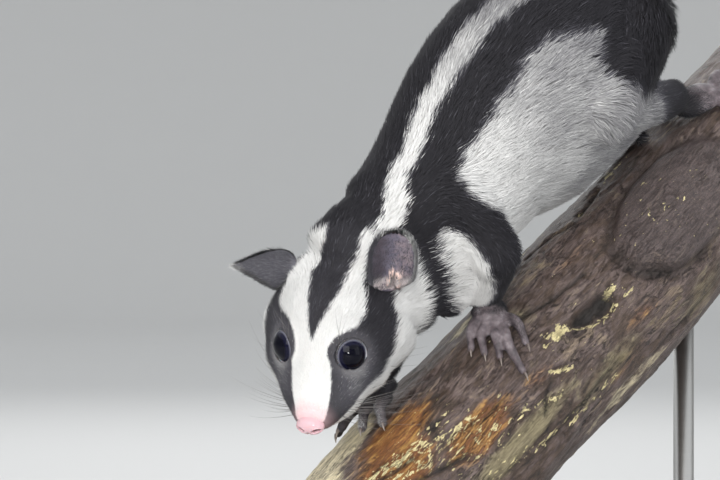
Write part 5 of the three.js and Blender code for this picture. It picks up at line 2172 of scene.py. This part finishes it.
@dataclass
class Studio:
    """The pale floor, the soft lights and the camera."""

    azimuth: float = -35.0
    distance: float = 0.750
    lens: float = 108.75
    sensor: float = 36.0
    left: float = 14.83
    lower: float = 37.93
    aim: Point = (-0.04, 0.0, 0.22)
    floor_reach: float = 4.0
    floor_bend: float = 1.5
    wall: float = 3.6
    sky: Colour = (0.86, 0.88, 0.9)
    sky_power: float = 1.1
    # Each lamp's name, place, size in metres, power in watts and colour.
    lamps: tuple[tuple[str, Point, float, float, Colour], ...] = (
        ("key", (-1.15, -0.95, 0.95), 1.1, 16.0, (1.0, 0.985, 0.96)),
        ("fill", (0.9, -1.5, 0.7), 1.2, 4.5, (0.93, 0.96, 1.0)),
        ("rim", (0.7, 1.2, 1.1), 0.9, 8.0, (1.0, 1.0, 1.0)),
        ("front", (-0.59, -0.68, 0.25), 0.07, 2.4, (1.0, 1.0, 1.0)),
    )

    def camera(self) -> None:
        """Sets the camera at the photograph's angle and framing."""
        turn = math.radians(self.azimuth)
        back = np.array([math.sin(turn), -math.cos(turn), 0.0])
        right = np.array([math.cos(turn), math.sin(turn), 0.0])
        eyes = from_branch(HEAD_AT[None])[0]
        at = eyes + right * self.left * MM + UP * self.lower * MM + back * self.distance
        data = bpy.data.cameras.new("camera")
        data.lens, data.sensor_width = self.lens, self.sensor
        data.clip_start, data.clip_end = 0.01, 50.0
        camera = bpy.data.objects.new("camera", data)
        camera.location = at
        camera.rotation_euler = (math.pi / 2, 0.0, turn)
        bpy.context.scene.collection.objects.link(camera)
        bpy.context.scene.camera = camera

    def light(self, name: str, at: Point, size: float, power: float, colour: Colour) -> None:
        """Adds a soft square light that faces the animal."""
        data = bpy.data.lights.new(name, "AREA")
        data.size, data.energy, data.color = size, power, colour
        lamp = bpy.data.objects.new(name, data)
        lamp.visible_camera = False
        aim = Vector(self.aim) - Vector(at)
        lamp.location = at
        lamp.rotation_euler = aim.to_track_quat("-Z", "Y").to_euler()
        bpy.context.scene.collection.objects.link(lamp)

    def build(self, finish: bpy.types.Material) -> None:
        """Lays the floor and sets the lights."""
        arc = [math.radians(angle) for angle in range(6, 91, 6)]
        near, bend = self.floor_reach, self.floor_bend
        curve = [(near + bend * math.sin(a), bend - bend * math.cos(a)) for a in arc]
        profile = [(0.0, 0.0), (near, 0.0), *curve, (near + bend, self.wall)]
        floor = add_object("floor", smooth_shaded(turned("floor", profile, 96, 1e-5)))
        floor.data.materials.append(finish)
        self.camera()
        for lamp in self.lamps:
            self.light(*lamp)
        world = bpy.data.worlds.new("studio")
        world.use_nodes = True
        sky = world.node_tree.nodes["Background"].inputs
        sky["Color"].default_value, sky["Strength"].default_value = (*self.sky, 1.0), self.sky_power
        bpy.context.scene.world = world
        bpy.context.scene.view_settings.view_transform = "Standard"


def main() -> None:
    """Builds the part's looks, piece by piece."""
    logging.basicConfig(level=logging.INFO, format="%(name)s %(message)s")
    fur = FurFinish().make("possum_fur")
    skin = Skin().build()
    hidden = [*Skin.flesh, *(paw.name for paw in PAWS), "tail_base", "tail_middle", "tail_tip"]
    dress(skin, HideFinish().make("possum_hide"), "coat", *hidden)
    Coat().build(skin.data, fur)
    ear_skin = EarFinish().make("ear_skin")
    for ear in EARS:
        ear.build(ear_skin, fur)
    # The eye rim's light colour serves the lids' grey and the painted reflection on the lower lid.
    wet, rim = (
        EyeFinish().make("wet_eye"),
        MoistFinish((0.56, 0.56, 0.60), (0.028, 0.025, 0.03), 0.2).make("eye_rim")
    )
    for side in Side:
        Eye(side).build(wet, rim)
    Nose().build(
        MoistFinish(
            (0.72, 0.47, 0.51), (0.12, 0.035, 0.04), 0.42, 1900.0, 0.00014
        ).make("nose_skin")
    )
    Whiskers().build(HairFinish().make("whisker_hair"))
    Claws().build(HornFinish().make("claw_horn"))
    Branch().build(BarkFinish().make("bark"))
    stand = Stand()
    stand.base(StainedWoodFinish().make("stained_wood"))
    stand.rods(SteelFinish().make("satin_steel"))
    Studio().build(FloorFinish().make("floor_paint"))


if __name__ == "__main__":
    main()
